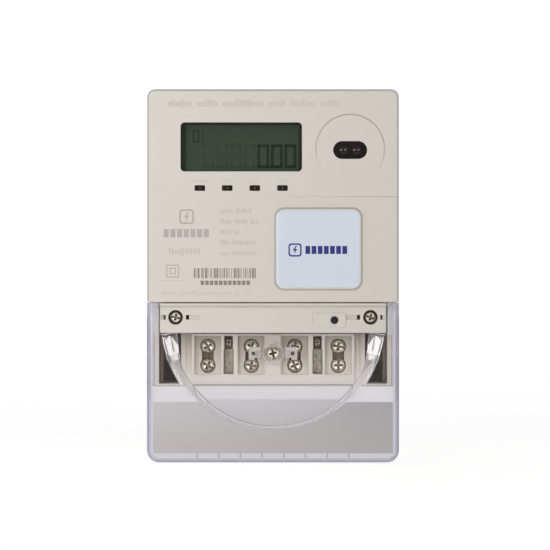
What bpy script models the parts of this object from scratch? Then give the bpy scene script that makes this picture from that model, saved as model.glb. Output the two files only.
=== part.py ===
"""A single-phase prepaid electricity meter: case, terminal block, clear terminal cover and works.

Sizes are millimetres and become metres as each shape is made. x runs to the reader's right and z
runs up, both from the middle of the case's back. "out" is the distance out from the wall, which
is -Y, so a span (lo, hi) in "out" is a span from the wall side to the reader's side.
"""

import math

import bmesh
import bpy
from mathutils import Matrix, Vector

MM = 0.001

# The case.
CASE_HALF = 63.0
CASE_TOP = 74.0
FACE_OUT = 60.0
FACE_BOTTOM = -32.5
WALL = 2.2
FLOOR = 2.4
RIM_OUT = 29.7
CORNER = 4.0
GAP = 0.3

# The part of the case below the face, which the terminal cover hides.
BASE_LOWER_HALF = 60.8
BASE_BOTTOM = -76.8
PANEL_HALF = 57.0
PANEL_OUT = 54.0
PANEL_BOTTOM = -48.2
LIP_OUT = 57.5
LIP_BOTTOM = -34.4
SEAL_SLOTS_X = ((36.8, 43.8), (54.0, 56.2))
SEAL_SLOT_HEIGHT = 2.4
SEAL_SLOT_DEPTH = 1.4
BUTTON_AT = (30.9, -41.7)
SEAL_AT = (49.0, -40.3)

# The face: display, indicators, optical port and card pad.
LCD_X = (-46.25, 14.5)
LCD_Z = (32.85, 57.35)
LED_X = (-36.6, -22.9, -9.1, 4.75)
LED_Z = 24.5
LED_SIZE = (5.2, 2.7)
PORT_AT = (38.6, 44.1)
PORT_RADIUS = 17.0
PORT_RISE = 0.4
PORT_WINDOW = (16.8, 8.7)
PAD_X = (1.0, 44.25)
PAD_Z = (-26.15, 14.35)
PAD_OUT = (59.9, 61.9)
PLATEAU_X = (-0.15, 46.0)
PLATEAU_Z = (-28.3, 15.7)
PLATEAU_OUT = 61.4

# The circuit board hangs from four posts behind the face.
BOARD_OUT = (42.4, 44.0)
BOARD_TOP = 69.0
BOARD_POSTS = ((-54.0, 66.0), (54.0, 66.0), (-54.0, -22.0), (54.0, -22.0))

# The terminal block.
BLOCK_HALF = 47.2
BLOCK_Z = (-74.9, -49.2)
BLOCK_TOP = -45.0
BLOCK_OUT = (5.0, 30.8)
POCKET_OUT = 25.2
POCKET_Z = (-69.9, -50.2)
TERMINAL_X = (-33.5, -11.2, 11.2, 33.5)
TERMINAL_SCREW_Z = (-55.7, -65.4)
CLAMP_Z = (-69.3, -52.0)
CLAMP_OUT = (9.7, 24.0)
CABLE_OUT = 17.0
AUX_X = (-22.8, 22.8)
AUX_SCREW_Z = -53.6
BAR_OUT = (16.1, 17.9)
FIXING_AT = (53.0, -62.0)

# The clear terminal cover.
COVER_HALF = 63.2
COVER_Z = (-113.0, -32.9)
COVER_OUT = (0.4, 59.5)
COVER_WALL = 1.8
COVER_MOUTH_HALF = 57.6
COVER_MOUTH_Z = -48.6
SCOOP_CENTRE = (0.0, -42.0)
SCOOP_RADIUS = 54.5
SCOOP_FLOOR_OUT = 34.0
COVER_SCREW_AT = (0.0, -59.0)

# Colours are linear red, green and blue.
IVORY = (0.68, 0.64, 0.56)
BLOCK_IVORY = (0.66, 0.62, 0.52)
PHENOLIC = (0.05, 0.045, 0.038)
NICKEL = (0.62, 0.58, 0.50)
BRASS = (0.42, 0.28, 0.12)
COPPER = (0.60, 0.27, 0.14)
STEEL = (0.45, 0.45, 0.46)
BOARD_GREEN = (0.03, 0.14, 0.06)
PART_BLACK = (0.015, 0.015, 0.016)
PALE_BLUE = (0.60, 0.66, 0.74)
BUTTON_BLUE = (0.02, 0.03, 0.20)
CLEAR = (0.85, 0.85, 0.90)


def collection(name):
    made = bpy.data.collections.new(name)
    bpy.context.scene.collection.children.link(made)
    return made


def clear_scene():
    for obj in list(bpy.data.objects):
        bpy.data.objects.remove(obj, do_unlink=True)


clear_scene()
METER = collection("prepaid_meter")
CUTTERS = collection("cutters")


# Shapes


def new_object(name, bm):
    """An object in the meter's collection that takes the bmesh."""
    bmesh.ops.recalc_face_normals(bm, faces=bm.faces)
    mesh = bpy.data.meshes.new(name)
    bm.to_mesh(mesh)
    bm.free()
    obj = bpy.data.objects.new(name, mesh)
    METER.objects.link(obj)
    return obj


def block(name, x, out, z, radius=0.0, front_radius=0.0, steps=3):
    """A box. radius rounds its four edges along Y and front_radius the edges of its front face."""
    lo = Vector((x[0], -out[1], z[0])) * MM
    hi = Vector((x[1], -out[0], z[1])) * MM
    bm = bmesh.new()
    bmesh.ops.create_cube(bm, size=1.0)
    bmesh.ops.transform(bm, matrix=Matrix.Diagonal((*(hi - lo), 1.0)), verts=bm.verts)
    bmesh.ops.translate(bm, vec=(lo + hi) / 2, verts=bm.verts)
    if radius:
        along_y = [e for e in bm.edges if abs(e.verts[0].co.y - e.verts[1].co.y) > 1e-9]
        bevel(bm, along_y, radius, steps)
    if front_radius:
        front = [e for e in bm.edges if all(abs(v.co.y - lo.y) < 1e-7 for v in e.verts)]
        bevel(bm, front, front_radius, steps)
    return new_object(name, bm)


def bevel(bm, edges, radius, steps):
    bmesh.ops.bevel(
        bm, geom=edges, offset=radius * MM, segments=steps, profile=0.5, affect="EDGES"
    )


def rod(name, at, radius, out, sides=24):
    """A cylinder whose axis is parallel to Y, through the point (x, z)."""
    return cylinder(name, (at[0], -(out[0] + out[1]) / 2, at[1]), radius, out[1] - out[0], "X", sides)


def upright_rod(name, x, out, radius, z, sides=24):
    """A cylinder whose axis is parallel to Z."""
    return cylinder(name, (x, -out, (z[0] + z[1]) / 2), radius, z[1] - z[0], None, sides)


def cylinder(name, centre, radius, length, tip_about, sides):
    bm = bmesh.new()
    turn = Matrix.Rotation(math.pi / 2, 4, tip_about) if tip_about else Matrix.Identity(4)
    place = Matrix.Translation(Vector(centre) * MM) @ turn
    bmesh.ops.create_cone(
        bm,
        cap_ends=True,
        segments=sides,
        radius1=radius * MM,
        radius2=radius * MM,
        depth=length * MM,
        matrix=place,
    )
    return new_object(name, bm)


def turned(name, at, profile, sides=16):
    """A turned piece: (radius, out) points about an axis parallel to Y, its origin on the axis."""
    mesh = bpy.data.meshes.new(name)
    points = [(radius * MM, -out * MM, 0.0) for radius, out in profile]
    edges = [(i, i + 1) for i in range(len(points) - 1)]
    mesh.from_pydata(points, edges, [])
    obj = bpy.data.objects.new(name, mesh)
    METER.objects.link(obj)
    obj.location = (at[0] * MM, 0.0, at[1] * MM)
    screw = obj.modifiers.new("turn", "SCREW")
    screw.axis = "Y"
    screw.steps = sides
    screw.render_steps = sides
    screw.use_merge_vertices = True
    screw.merge_threshold = 0.00001
    screw.use_normal_flip = True
    screw.use_smooth_shade = True
    return obj


def plate(name, outline, out):
    """A flat plate: the outline's (x, z) points, filled, between two distances from the wall."""
    curve = bpy.data.curves.new(name, "CURVE")
    curve.dimensions = "2D"
    curve.fill_mode = "BOTH"
    curve.extrude = (out[1] - out[0]) / 2 * MM
    spline = curve.splines.new("POLY")
    spline.points.add(len(outline) - 1)
    for point, (x, z) in zip(spline.points, outline):
        point.co = (x * MM, z * MM, 0.0, 1.0)
    spline.use_cyclic_u = True
    obj = bpy.data.objects.new(name, curve)
    METER.objects.link(obj)
    obj.rotation_euler = (math.pi / 2, 0.0, 0.0)
    obj.location = (0.0, -(out[0] + out[1]) / 2 * MM, 0.0)
    return obj


def around(centre, half):
    return (centre - half, centre + half)


def between(value, span, other):
    """The place in the other span that matches the value's place in this one."""
    share = (value - span[0]) / (span[1] - span[0])
    return other[0] + share * (other[1] - other[0])


def grown(span, by):
    return (span[0] - by, span[1] + by)


def use_as_tool(tool):
    METER.objects.unlink(tool)
    CUTTERS.objects.link(tool)
    tool.hide_render = True
    tool.display_type = "WIRE"


def boolean(piece, operation, tools):
    for tool in tools:
        use_as_tool(tool)
        modifier = piece.modifiers.new(tool.name, "BOOLEAN")
        modifier.operation = operation
        modifier.object = tool


def cut(piece, *tools):
    boolean(piece, "DIFFERENCE", tools)


def join(piece, *tools):
    boolean(piece, "UNION", tools)


def finish(obj, colour, roughness=0.5, metallic=0.0, transmission=0.0):
    """Gives a piece its own material."""
    material = bpy.data.materials.new(obj.name)
    material.use_nodes = True
    shader = material.node_tree.nodes["Principled BSDF"]
    shader.inputs["Base Color"].default_value = (*colour, 1.0)
    shader.inputs["Roughness"].default_value = roughness
    shader.inputs["Metallic"].default_value = metallic
    shader.inputs["Transmission Weight"].default_value = transmission
    obj.data.materials.append(material)
    return obj


# The case


def base_case():
    """The tray on the wall: wide behind the face, narrower below so the clear cover slips over."""
    lower_inside = BASE_LOWER_HALF - FLOOR
    case = block("base_case", around(0, 62.6), (0, RIM_OUT), (FACE_BOTTOM, 73.6), CORNER)
    join(case, block("base_lower", around(0, BASE_LOWER_HALF), (0, RIM_OUT), (BASE_BOTTOM, -30)))
    cut(
        case,
        block("base_room", around(0, 60.2), (FLOOR, 31), (-30.1, 71.2), 2.0),
        block("base_lower_room", around(0, lower_inside), (FLOOR, 31), (-74.6, -28)),
        block("cable_way", around(0, BLOCK_HALF + 0.4), (FLOOR, 31), (-78, -74)),
    )
    for side in (-1, 1):
        name = "right" if side > 0 else "left"
        ledge_x = sorted((side * 54.6, side * 59.0))
        join(
            case,
            block("ledge_" + name, ledge_x, (27.2, RIM_OUT - 0.1), (-48.6, -29.9)),
            rod("post_" + name, (side * SEAL_AT[0], SEAL_AT[1]), 4.2, (1.5, 29.9)),
        )
    join(case, block("hanger_pad", around(0, 15), (1.8, 6.0), (42, 72)))
    cut(case, block("hanger_way", around(0, 11), (-1, 3.0), (44, 75)))
    for side in (-1, 1):
        name = "right" if side > 0 else "left"
        cut(
            case,
            rod("post_bore_" + name, (side * SEAL_AT[0], SEAL_AT[1]), 1.8, (16, 31), 16),
            rod("fixing_hole_" + name, (side * FIXING_AT[0], FIXING_AT[1]), 2.7, (-1, 4)),
        )
    return finish(case, IVORY, 0.45)


def front_cover():
    """The moulded face with its raised port disc and pad seat, and the panel set back below it."""
    cover = block(
        "front_cover",
        around(0, CASE_HALF),
        (31.5, FACE_OUT),
        (FACE_BOTTOM, CASE_TOP),
        CORNER,
        1.2,
    )
    inside = CASE_HALF - WALL
    back_of_face = FACE_OUT - WALL
    join(
        cover,
        block("panel", around(0, PANEL_HALF), (31.5, PANEL_OUT), (PANEL_BOTTOM, -31)),
        block("panel_lip", around(0, PANEL_HALF - 0.2), (52.5, LIP_OUT), (LIP_BOTTOM, -31.5)),
    )
    cut(
        cover,
        block("face_room", around(0, inside), (30, back_of_face), (-30.3, CASE_TOP - WALL), 2.0),
        block(
            "panel_room",
            around(0, PANEL_HALF - WALL),
            (30, PANEL_OUT - WALL),
            (PANEL_BOTTOM + WALL, -29),
        ),
    )
    join(
        cover,
        pad_plateau(),
        rod("port_disc", PORT_AT, PORT_RADIUS, (58, FACE_OUT + PORT_RISE), 48),
    )
    for index, at in enumerate(BOARD_POSTS):
        join(cover, rod(f"board_post_{index}", at, 2.6, (BOARD_OUT[1] + GAP, 58.5), 12))
        cut(cover, rod(f"board_bore_{index}", at, 1.3, (43, 53), 12))
    for side in (-1, 1):
        name = "right" if side > 0 else "left"
        at = (side * SEAL_AT[0], SEAL_AT[1])
        join(cover, rod("seal_boss_" + name, at, 4.6, (30.6, 53)))
        cut(cover, rod("seal_seat_" + name, at, 3.65, (50.9, 56)))
        cut(cover, rod("seal_bore_" + name, at, 1.9, (29, 52), 16))
        for number, (near, far) in enumerate(SEAL_SLOTS_X):
            slot_x = sorted((side * near, side * far))
            slot_out = (PANEL_OUT - SEAL_SLOT_DEPTH, PANEL_OUT + 1)
            slot_z = around(SEAL_AT[1], SEAL_SLOT_HEIGHT / 2)
            cut(cover, block(f"seal_slot_{name}_{number}", slot_x, slot_out, slot_z))
    cut(
        cover,
        block("lcd_opening", LCD_X, (54, 62), LCD_Z, 2.0),
        block("pad_seat", grown(PAD_X, GAP), (PAD_OUT[0] - GAP, 63), grown(PAD_Z, GAP), 3.3),
        port_window("port_opening", PORT_WINDOW, (54, 62)),
        block("plate_seat", (19.7, 36.9), (53, 55), (-45.6, -37.8)),
        rod("button_hole", BUTTON_AT, 2.1, (50, 56), 16),
    )
    for index, x in enumerate(LED_X):
        width, height = LED_SIZE
        cut(
            cover,
            block(f"led_opening_{index}", around(x, width / 2), (54, 62), around(LED_Z, height / 2)),
        )
    return finish(cover, IVORY, 0.42)


def port_window(name, size, out):
    """An obround as wide and high as size, on the optical port."""
    half_width, half_height = size[0] / 2, size[1] / 2
    x = around(PORT_AT[0], half_width)
    z = around(PORT_AT[1] - 0.6, half_height)
    return block(name, x, out, z, half_height - 0.05, steps=6)


def pad_plateau():
    """The raised seat of the card pad, its sides sloping in from the face to the pad."""
    out = (58.0, PLATEAU_OUT)
    plateau = block("pad_plateau", PLATEAU_X, out, PLATEAU_Z, 5.0, steps=4)
    top_x, top_z = grown(PAD_X, 0.8), grown(PAD_Z, 0.8)
    for vertex in plateau.data.vertices:
        if vertex.co.y < -FACE_OUT * MM:
            vertex.co.x = between(vertex.co.x / MM, PLATEAU_X, top_x) * MM
            vertex.co.z = between(vertex.co.z / MM, PLATEAU_Z, top_z) * MM
    return plateau


def cover_gasket():
    """A rubber strip round the joint of case and cover, open where the terminal block crosses."""
    width = 1.2
    side, foot, top, step, end, chamfer = 62.4, 56.5, 73.3, -32.0, -47.4, 3.5
    right_side = (
        (foot, end),
        (foot, step),
        (side, step),
        (side, top - chamfer),
        (side - chamfer, top),
    )
    inner_chamfer = chamfer - width / 2
    right_inside = (
        (side - width - inner_chamfer, top - width),
        (side - width, top - width - inner_chamfer),
        (side - width, step + width),
        (foot - width, step + width),
        (foot - width, end),
    )
    left_side = [(-x, z) for x, z in reversed(right_side)]
    left_inside = [(-x, z) for x, z in reversed(right_inside)]
    outline = [*right_side, *left_side, *left_inside, *right_inside]
    gasket = plate("cover_gasket", outline, (RIM_OUT + GAP, 31.2))
    return finish(gasket, (0.05, 0.05, 0.05), 0.8)


def seal_screws():
    profile = ((0, 53.8), (2.3, 53.8), (2.85, 53.2), (2.85, 51.2), (1.5, 51.2), (1.5, 20.0), (0, 18.8))
    return [
        finish(turned(name, (side * SEAL_AT[0], SEAL_AT[1]), profile), NICKEL, 0.3, 1.0)
        for name, side in (("seal_screw_left", -1), ("seal_screw_right", 1))
    ]


def hanger():
    """A tab that slides up from behind the case to hang it on a screw."""
    tab = block("hanger", around(0, 10.6), (GAP, 2.4), (44.6, 73.2), 2.0)
    cut(tab, rod("hanger_hole", (0, 67.5), 2.9, (-1, 4)))
    return finish(tab, IVORY, 0.5)


# Display, indicators and optical port


def lcd_window():
    window = block("lcd_window", grown(LCD_X, 1.55), (56.2, 57.5), grown(LCD_Z, 1.55))
    join(window, block("lcd_window_step", grown(LCD_X, -GAP), (57, 59.2), grown(LCD_Z, -GAP), 1.7))
    return finish(window, (0.9, 0.9, 0.9), 0.05, transmission=1.0)


def lcd_glass():
    glass = block("lcd_glass", grown(LCD_X, -0.6), (52.6, 55.4), grown(LCD_Z, 0.65))
    return finish(glass, (0.05, 0.065, 0.045), 0.15)


def lcd_backlight():
    light = block("lcd_backlight", grown(LCD_X, 0.8), (44.3, 52.3), grown(LCD_Z, 2.2))
    return finish(light, (0.8, 0.8, 0.8), 0.6)


def leds():
    made = []
    for index, x in enumerate(LED_X):
        x_span = around(x, LED_SIZE[0] / 2 - GAP)
        z_span = around(LED_Z, LED_SIZE[1] / 2 - GAP)
        led = block(f"led_{index + 1}", x_span, (44.3, 59.4), z_span)
        made.append(finish(led, (0.02, 0.012, 0.01), 0.2))
    return made


def optical_port():
    """The dark window, the two infrared diodes behind it and the steel ring a magnet holds to."""
    width, height = PORT_WINDOW
    window = port_window("optical_window", (width + 3.2, height + 3.2), (56, 57.5))
    join(window, port_window("optical_window_step", (width - 0.6, height - 0.6), (57, 59.5)))
    finish(window, PART_BLACK, 0.12)
    diode = ((0, 55.4), (0.9, 55.1), (1.5, 54.2), (1.5, 46.0), (1.8, 46.0), (1.8, 44.3), (0, 44.3))
    for name, side in (("ir_emitter", -1), ("ir_receiver", 1)):
        at = (PORT_AT[0] + side * 3.3, PORT_AT[1] - 0.6)
        finish(turned(name, at, diode, 12), PART_BLACK, 0.15)
    ring = rod("magnet_ring", PORT_AT, 14.8, (56.3, 57.5), 32)
    cut(ring, rod("magnet_ring_hole", PORT_AT, 10.9, (55, 59), 32))
    finish(ring, STEEL, 0.4, 1.0)


# Card reader


def card_reader():
    pad = block("card_pad", PAD_X, PAD_OUT, PAD_Z, 3.0, 0.6)
    finish(pad, PALE_BLUE, 0.2)
    board = block("antenna_board", grown(PAD_X, -0.6), (54.4, 56.0), grown(PAD_Z, -0.6))
    finish(board, BOARD_GREEN, 0.4)
    coil = block("antenna_coil", grown(PAD_X, -2.6), (56.3, 57.0), grown(PAD_Z, -2.6), 3.0)
    cut(coil, block("coil_hole", grown(PAD_X, -6.1), (55, 59), grown(PAD_Z, -6.1), 2.0))
    finish(coil, COPPER, 0.35, 1.0)


# Circuit board and the pieces on it


def main_board():
    board = block("main_board", around(0, 57), BOARD_OUT, (-30, BOARD_TOP))
    join(board, block("board_tongue", around(0, 43.5), BOARD_OUT, (-45.2, -29)))
    for index, at in enumerate(BOARD_POSTS):
        cut(board, rod(f"board_hole_{index}", at, 1.5, (41, 46), 12))
    return finish(board, BOARD_GREEN, 0.4)


def board_screws():
    profile = ((0, 50.0), (1.0, 49.4), (1.0, 42.1), (2.4, 42.1), (2.4, 41.0), (1.8, 40.5), (0, 40.5))
    for index, at in enumerate(BOARD_POSTS):
        finish(turned(f"board_screw_{index + 1}", at, profile, 12), STEEL, 0.35, 1.0)


def board_parts():
    """The power supply, the back-up cell, the buzzer and the key switch."""
    transformer = block("supply_transformer", (14, 36), (27.5, 42.1), (-9, 7))
    join(transformer, block("transformer_winding", (17.5, 32.5), (26, 40), (-12, 10), 2.0))
    finish(transformer, (0.10, 0.09, 0.05), 0.5)
    finish(block("safety_capacitor", (14, 32), (27, 42.1), (18, 26.5)), (0.55, 0.45, 0.05), 0.4)
    finish(rod("filter_capacitor", (-20, 22), 6.3, (26.1, 42.1), 20), PART_BLACK, 0.3)
    battery = cylinder("backup_battery", (24.5, -34.6, 44), 7.2, 25, None, 20)
    turn = Matrix.Rotation(math.pi / 2, 4, "Y")
    centre = Vector((24.5, -34.6, 44)) * MM
    battery.data.transform(Matrix.Translation(centre) @ turn @ Matrix.Translation(-centre))
    finish(battery, (0.35, 0.36, 0.38), 0.3, 1.0)
    finish(rod("buzzer", (-42, 6), 6.0, (34, 42.1), 20), PART_BLACK, 0.5)
    switch_x = around(BUTTON_AT[0], 3.0)
    switch_z = around(BUTTON_AT[1] + 0.6, 3.0)
    finish(block("key_switch", switch_x, (44.3, 48.3), switch_z), PART_BLACK, 0.4)


def push_button():
    """The key on the lower panel. It is pressed straight in, towards the wall."""
    profile = (
        (0, 54.9),
        (1.3, 54.9),
        (1.65, 54.5),
        (1.65, 51.5),
        (2.9, 51.5),
        (2.9, 50.5),
        (1.2, 50.5),
        (1.2, 49.7),
        (0, 49.7),
    )
    return finish(turned("push_button", BUTTON_AT, profile), BUTTON_BLUE, 0.3)


def button_plate():
    face = block("button_plate", (20, 36.6), (53.3, 54.5), (-45.3, -38.1), 0.8)
    cut(face, rod("plate_hole", BUTTON_AT, 2.0, (52, 56), 16))
    return finish(face, IVORY, 0.4)


# Terminals and the load circuit


def terminal_block():
    """The moulded block, its pockets open to the front and its cable tunnels to below."""
    made = block("terminal_block", around(0, BLOCK_HALF), (20, BLOCK_OUT[1]), BLOCK_Z, 0.0)
    back_z = (BLOCK_Z[0], BLOCK_TOP)
    join(made, block("block_back", around(0, BLOCK_HALF), (BLOCK_OUT[0], 24.6), back_z))
    for index, x in enumerate(TERMINAL_X):
        cut(
            made,
            block(f"pocket_{index}", around(x, 6.8), (POCKET_OUT, 32), POCKET_Z),
            block(f"clamp_room_{index}", around(x, 4.8), (9.4, 24.3), grown(CLAMP_Z, GAP)),
            block(f"clamp_mouth_{index}", around(x, 3.3), (23, 26), (-68.7, -52.5)),
            block(f"bar_way_{index}", around(x, 3.4), grown(BAR_OUT, GAP), (-52.5, -44)),
            upright_rod(f"cable_tunnel_{index}", x, CABLE_OUT, 4.2, (-76, -69)),
        )
    for index, x in enumerate(AUX_X):
        cut(
            made,
            block(f"aux_slot_{index}", around(x, 2.2), (22, 32), (-57.3, -50.2)),
            block(f"aux_floor_{index}", around(x, 2.55), (23, 32), (-69.8, -57.1)),
            block(f"aux_room_{index}", around(x, 2.2), (13.7, 22.5), (-69.5, -51.0)),
            upright_rod(f"aux_tunnel_{index}", x, 18, 1.6, (-76, -69), 12),
        )
    cut(
        made,
        rod("cover_thread", COVER_SCREW_AT, 1.9, (18, 32), 16),
        block("step_left", (-48, -41.6), (28.8, 32), (-76, -48)),
        block("step_right", (41.6, 48), (28.8, 32), (-76, -48)),
    )
    return finish(made, BLOCK_IVORY, 0.5)


def insulating_tray():
    """Dark tray behind and beside the block, with a boss at each lower fixing hole."""
    wall_side, wall_thick = 58.1, 1.6
    tray = block("insulating_tray", around(0, wall_side), (2.7, 4.6), (-74.3, -46))
    for side in (-1, 1):
        name = "right" if side > 0 else "left"
        at = (side * FIXING_AT[0], FIXING_AT[1])
        wall_x = sorted((side * wall_side, side * (wall_side - wall_thick)))
        join(
            tray,
            block("tray_wall_" + name, wall_x, (2.7, 26.8), (-74.3, -46)),
            rod("fixing_boss_" + name, at, 4.6, (4, 8)),
        )
        cut(tray, rod("tray_hole_" + name, at, 2.7, (1, 10)))
    return finish(tray, PHENOLIC, 0.6)


def terminals():
    """Four cage clamps with two screws each, and two small clamps with one screw each."""
    screw = ((0, 29.4), (2.6, 29.4), (3.55, 28.6), (3.55, 26.5), (2.1, 26.5), (2.1, 20.6), (1.5, 20.0), (0, 20.0))
    number = 0
    for index, x in enumerate(TERMINAL_X):
        clamp = block(f"terminal_clamp_{index + 1}", around(x, 4.5), CLAMP_OUT, CLAMP_Z)
        cut(clamp, upright_rod(f"clamp_bore_{index}", x, CABLE_OUT, 3.6, (-71, -50)))
        for z in TERMINAL_SCREW_Z:
            number += 1
            cut(clamp, rod(f"clamp_thread_{number}", (x, z), 2.4, (17, 26), 16))
            finish(turned(f"terminal_screw_{number}", (x, z), screw), NICKEL, 0.3, 1.0)
        finish(clamp, BRASS, 0.35, 1.0)
    small = ((0, 26.4), (1.5, 26.4), (2.0, 25.9), (2.0, 24.5), (1.0, 24.5), (1.0, 19.0), (0, 18.8))
    for index, x in enumerate(AUX_X):
        clamp = block(f"aux_clamp_{index + 1}", around(x, 1.9), (14, 21.6), (-69.2, -51.3))
        cut(clamp, upright_rod(f"aux_bore_{index}", x, 18, 1.4, (-71, -50), 12))
        cut(clamp, rod(f"aux_thread_{index}", (x, AUX_SCREW_Z), 1.3, (17, 24), 12))
        finish(clamp, BRASS, 0.35, 1.0)
        finish(turned(f"aux_screw_{index + 1}", (x, AUX_SCREW_Z), small, 12), NICKEL, 0.3, 1.0)


def load_circuit():
    """Live in, shunt, relay and live out on the left, and neutral through its transformer."""
    live_in, live_out, neutral_in, neutral_out = TERMINAL_X
    foot = CLAMP_Z[1] + GAP
    finish(block("live_in_bar", around(live_in, 3), BAR_OUT, (foot, -43.9)), COPPER, 0.35, 1.0)
    finish(block("shunt", around(live_in, 3), BAR_OUT, (-43.6, -38.3)), STEEL, 0.35, 1.0)
    finish(block("live_out_bar", around(live_out, 3), BAR_OUT, (foot, -38.3)), COPPER, 0.35, 1.0)
    finish(block("latching_relay", (-40, -4), (4, 26), (-38, -8), 1.0), PART_BLACK, 0.45)
    neutral = block("neutral_bar", around(neutral_in, 3), BAR_OUT, (foot, -22))
    join(
        neutral,
        block("neutral_return", around(neutral_out, 3), BAR_OUT, (foot, -22)),
        block("neutral_bridge", (neutral_in - 2.9, neutral_out + 2.9), grown(BAR_OUT, -0.05), (-28, -22.1)),
    )
    finish(neutral, COPPER, 0.35, 1.0)
    ring = upright_rod("current_transformer", neutral_out, CABLE_OUT, 10.4, (-40, -32))
    cut(ring, upright_rod("transformer_hole", neutral_out, CABLE_OUT, 5.2, (-42, -30)))
    finish(ring, (0.03, 0.05, 0.12), 0.5)


# The clear terminal cover


def terminal_cover():
    """A clear box over the terminals, its front scooped away to a floor just over the block."""
    bottom, top = COVER_Z
    cover = block(
        "terminal_cover", around(0, COVER_HALF), COVER_OUT, (bottom, -20), 6.0, 3.0, 4
    )
    inside = block(
        "cover_room",
        around(0, COVER_HALF - COVER_WALL),
        (-1, COVER_OUT[1] - COVER_WALL),
        (bottom + COVER_WALL, top - COVER_WALL),
        4.5,
        1.5,
        4,
    )
    floor_out = SCOOP_FLOOR_OUT - COVER_WALL
    cut(inside, rod("scoop_skin", SCOOP_CENTRE, SCOOP_RADIUS + COVER_WALL, (floor_out, 61), 64))
    cut(
        cover,
        inside,
        rod("scoop", SCOOP_CENTRE, SCOOP_RADIUS, (SCOOP_FLOOR_OUT, 62), 64),
        block("cover_mouth", around(0, COVER_MOUTH_HALF), (-2, 63), (COVER_MOUTH_Z, -10)),
        block("cover_top", around(0, 70), (-2, 63), (top, -10)),
        block("case_way", around(0, COVER_HALF - COVER_WALL), (-2, 31.8), (top - 6, -10)),
    )
    join(cover, rod("screw_boss", COVER_SCREW_AT, 5.4, (33, 35.2), 20))
    for side in (-1, 1):
        name = "right" if side > 0 else "left"
        lug_x = sorted((side * 6.0, side * 12.2))
        join(cover, block("lug_" + name, lug_x, (33, 38.5), (-61.9, -55.6)))
        cut(cover, block("lug_hole_" + name, around(side * 9.7, 1.05), (34.3, 40), (-59.8, -57.7)))
    cut(cover, rod("cover_screw_hole", COVER_SCREW_AT, 2.0, (30, 40), 16))
    return finish(cover, CLEAR, 0.06, transmission=1.0)


def terminal_cover_screw():
    profile = ((0, 38.2), (2.6, 38.2), (3.4, 37.6), (3.4, 35.6), (1.6, 35.6), (1.6, 20.6), (1.0, 20.0), (0, 20.0))
    return finish(turned("terminal_cover_screw", COVER_SCREW_AT, profile), NICKEL, 0.3, 1.0)


def build():
    case = base_case()
    front_cover()
    cover_gasket()
    seal_screws()
    hanger()
    lcd_window()
    lcd_glass()
    lcd_backlight()
    leds()
    optical_port()
    card_reader()
    main_board()
    board_screws()
    board_parts()
    push_button()
    button_plate()
    terminal_block()
    insulating_tray()
    terminals()
    load_circuit()
    cover = terminal_cover()
    terminal_cover_screw().parent = cover
    for obj in METER.objects:
        if obj is not case and obj.parent is None:
            obj.parent = case


build()
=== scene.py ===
"""Looks of a single-phase prepaid electricity meter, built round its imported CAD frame.

Sizes are millimetres and become metres as each shape is made. x runs to the reader's right and z
runs up, both from the middle of the case's back. "out" is the distance out from the wall, which
is -Y, so a span (lo, hi) in "out" is a span from the wall side to the reader's side.
"""

import math
import random

import bmesh
import bpy
from mathutils import Matrix, Vector


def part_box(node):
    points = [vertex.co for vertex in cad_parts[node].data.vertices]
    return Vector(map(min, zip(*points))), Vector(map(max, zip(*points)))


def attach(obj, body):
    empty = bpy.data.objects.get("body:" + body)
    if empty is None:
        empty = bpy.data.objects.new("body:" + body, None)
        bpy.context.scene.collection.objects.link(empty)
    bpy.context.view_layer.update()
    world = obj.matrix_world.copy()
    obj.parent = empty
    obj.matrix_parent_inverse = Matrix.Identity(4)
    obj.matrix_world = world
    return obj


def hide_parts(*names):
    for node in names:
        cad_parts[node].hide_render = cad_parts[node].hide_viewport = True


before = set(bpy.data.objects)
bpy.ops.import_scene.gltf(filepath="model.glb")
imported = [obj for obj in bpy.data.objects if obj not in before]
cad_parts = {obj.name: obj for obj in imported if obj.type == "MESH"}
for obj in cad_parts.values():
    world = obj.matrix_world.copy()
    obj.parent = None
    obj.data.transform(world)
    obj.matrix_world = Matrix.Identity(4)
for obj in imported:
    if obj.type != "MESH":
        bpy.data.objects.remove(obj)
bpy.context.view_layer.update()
MM = 0.001


# Places taken from the CAD


def spans(node):
    """A CAD node's spans in x, out and z."""
    lo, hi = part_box(node)
    return (lo.x / MM, hi.x / MM), (-hi.y / MM, -lo.y / MM), (lo.z / MM, hi.z / MM)


def middle(span):
    return (span[0] + span[1]) / 2


def place(node):
    """The (x, z) of a CAD node's middle."""
    x, _, z = spans(node)
    return middle(x), middle(z)


def around(centre, half):
    return (centre - half, centre + half)


def grown(span, by):
    return (span[0] - by, span[1] + by)


def between(value, span, other):
    """The place in the other span that matches the value's place in this one."""
    share = (value - span[0]) / (span[1] - span[0])
    return other[0] + share * (other[1] - other[0])


def mirrored(side, near, far):
    return tuple(sorted((side * near, side * far)))


SIDES = ((-1, "left"), (1, "right"))
COVER_X, COVER_REACH, COVER_Z = spans("front_cover")
BASE_X, BASE_REACH, BASE_Z = spans("base_case")
PAD_X, PAD_REACH, PAD_Z = spans("card_pad")
WINDOW_X, WINDOW_REACH, WINDOW_Z = spans("lcd_window")
BLOCK_X, BLOCK_REACH, BLOCK_Z = spans("terminal_block")
CLEAR_X, CLEAR_REACH, CLEAR_Z = spans("terminal_cover")
PLATE_X, PLATE_REACH, PLATE_Z = spans("button_plate")
SEEN_PAD_X, SEEN_PAD_Z = grown(PAD_X, -1.0), grown(PAD_Z, -1.0)
LED_NODES = [f"led_{number}" for number in range(1, 5)]
CLAMP_NODES = [f"terminal_clamp_{number}" for number in range(1, 5)]
MAIN_SCREWS = [f"terminal_screw_{number}" for number in range(1, 9)]
AUX_NODES = [f"aux_clamp_{number}" for number in range(1, 3)]
PORT = place("magnet_ring")
KEY = place("push_button")
SEAL = place("seal_screw_right")
COVER_SCREW = place("terminal_cover_screw")

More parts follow.
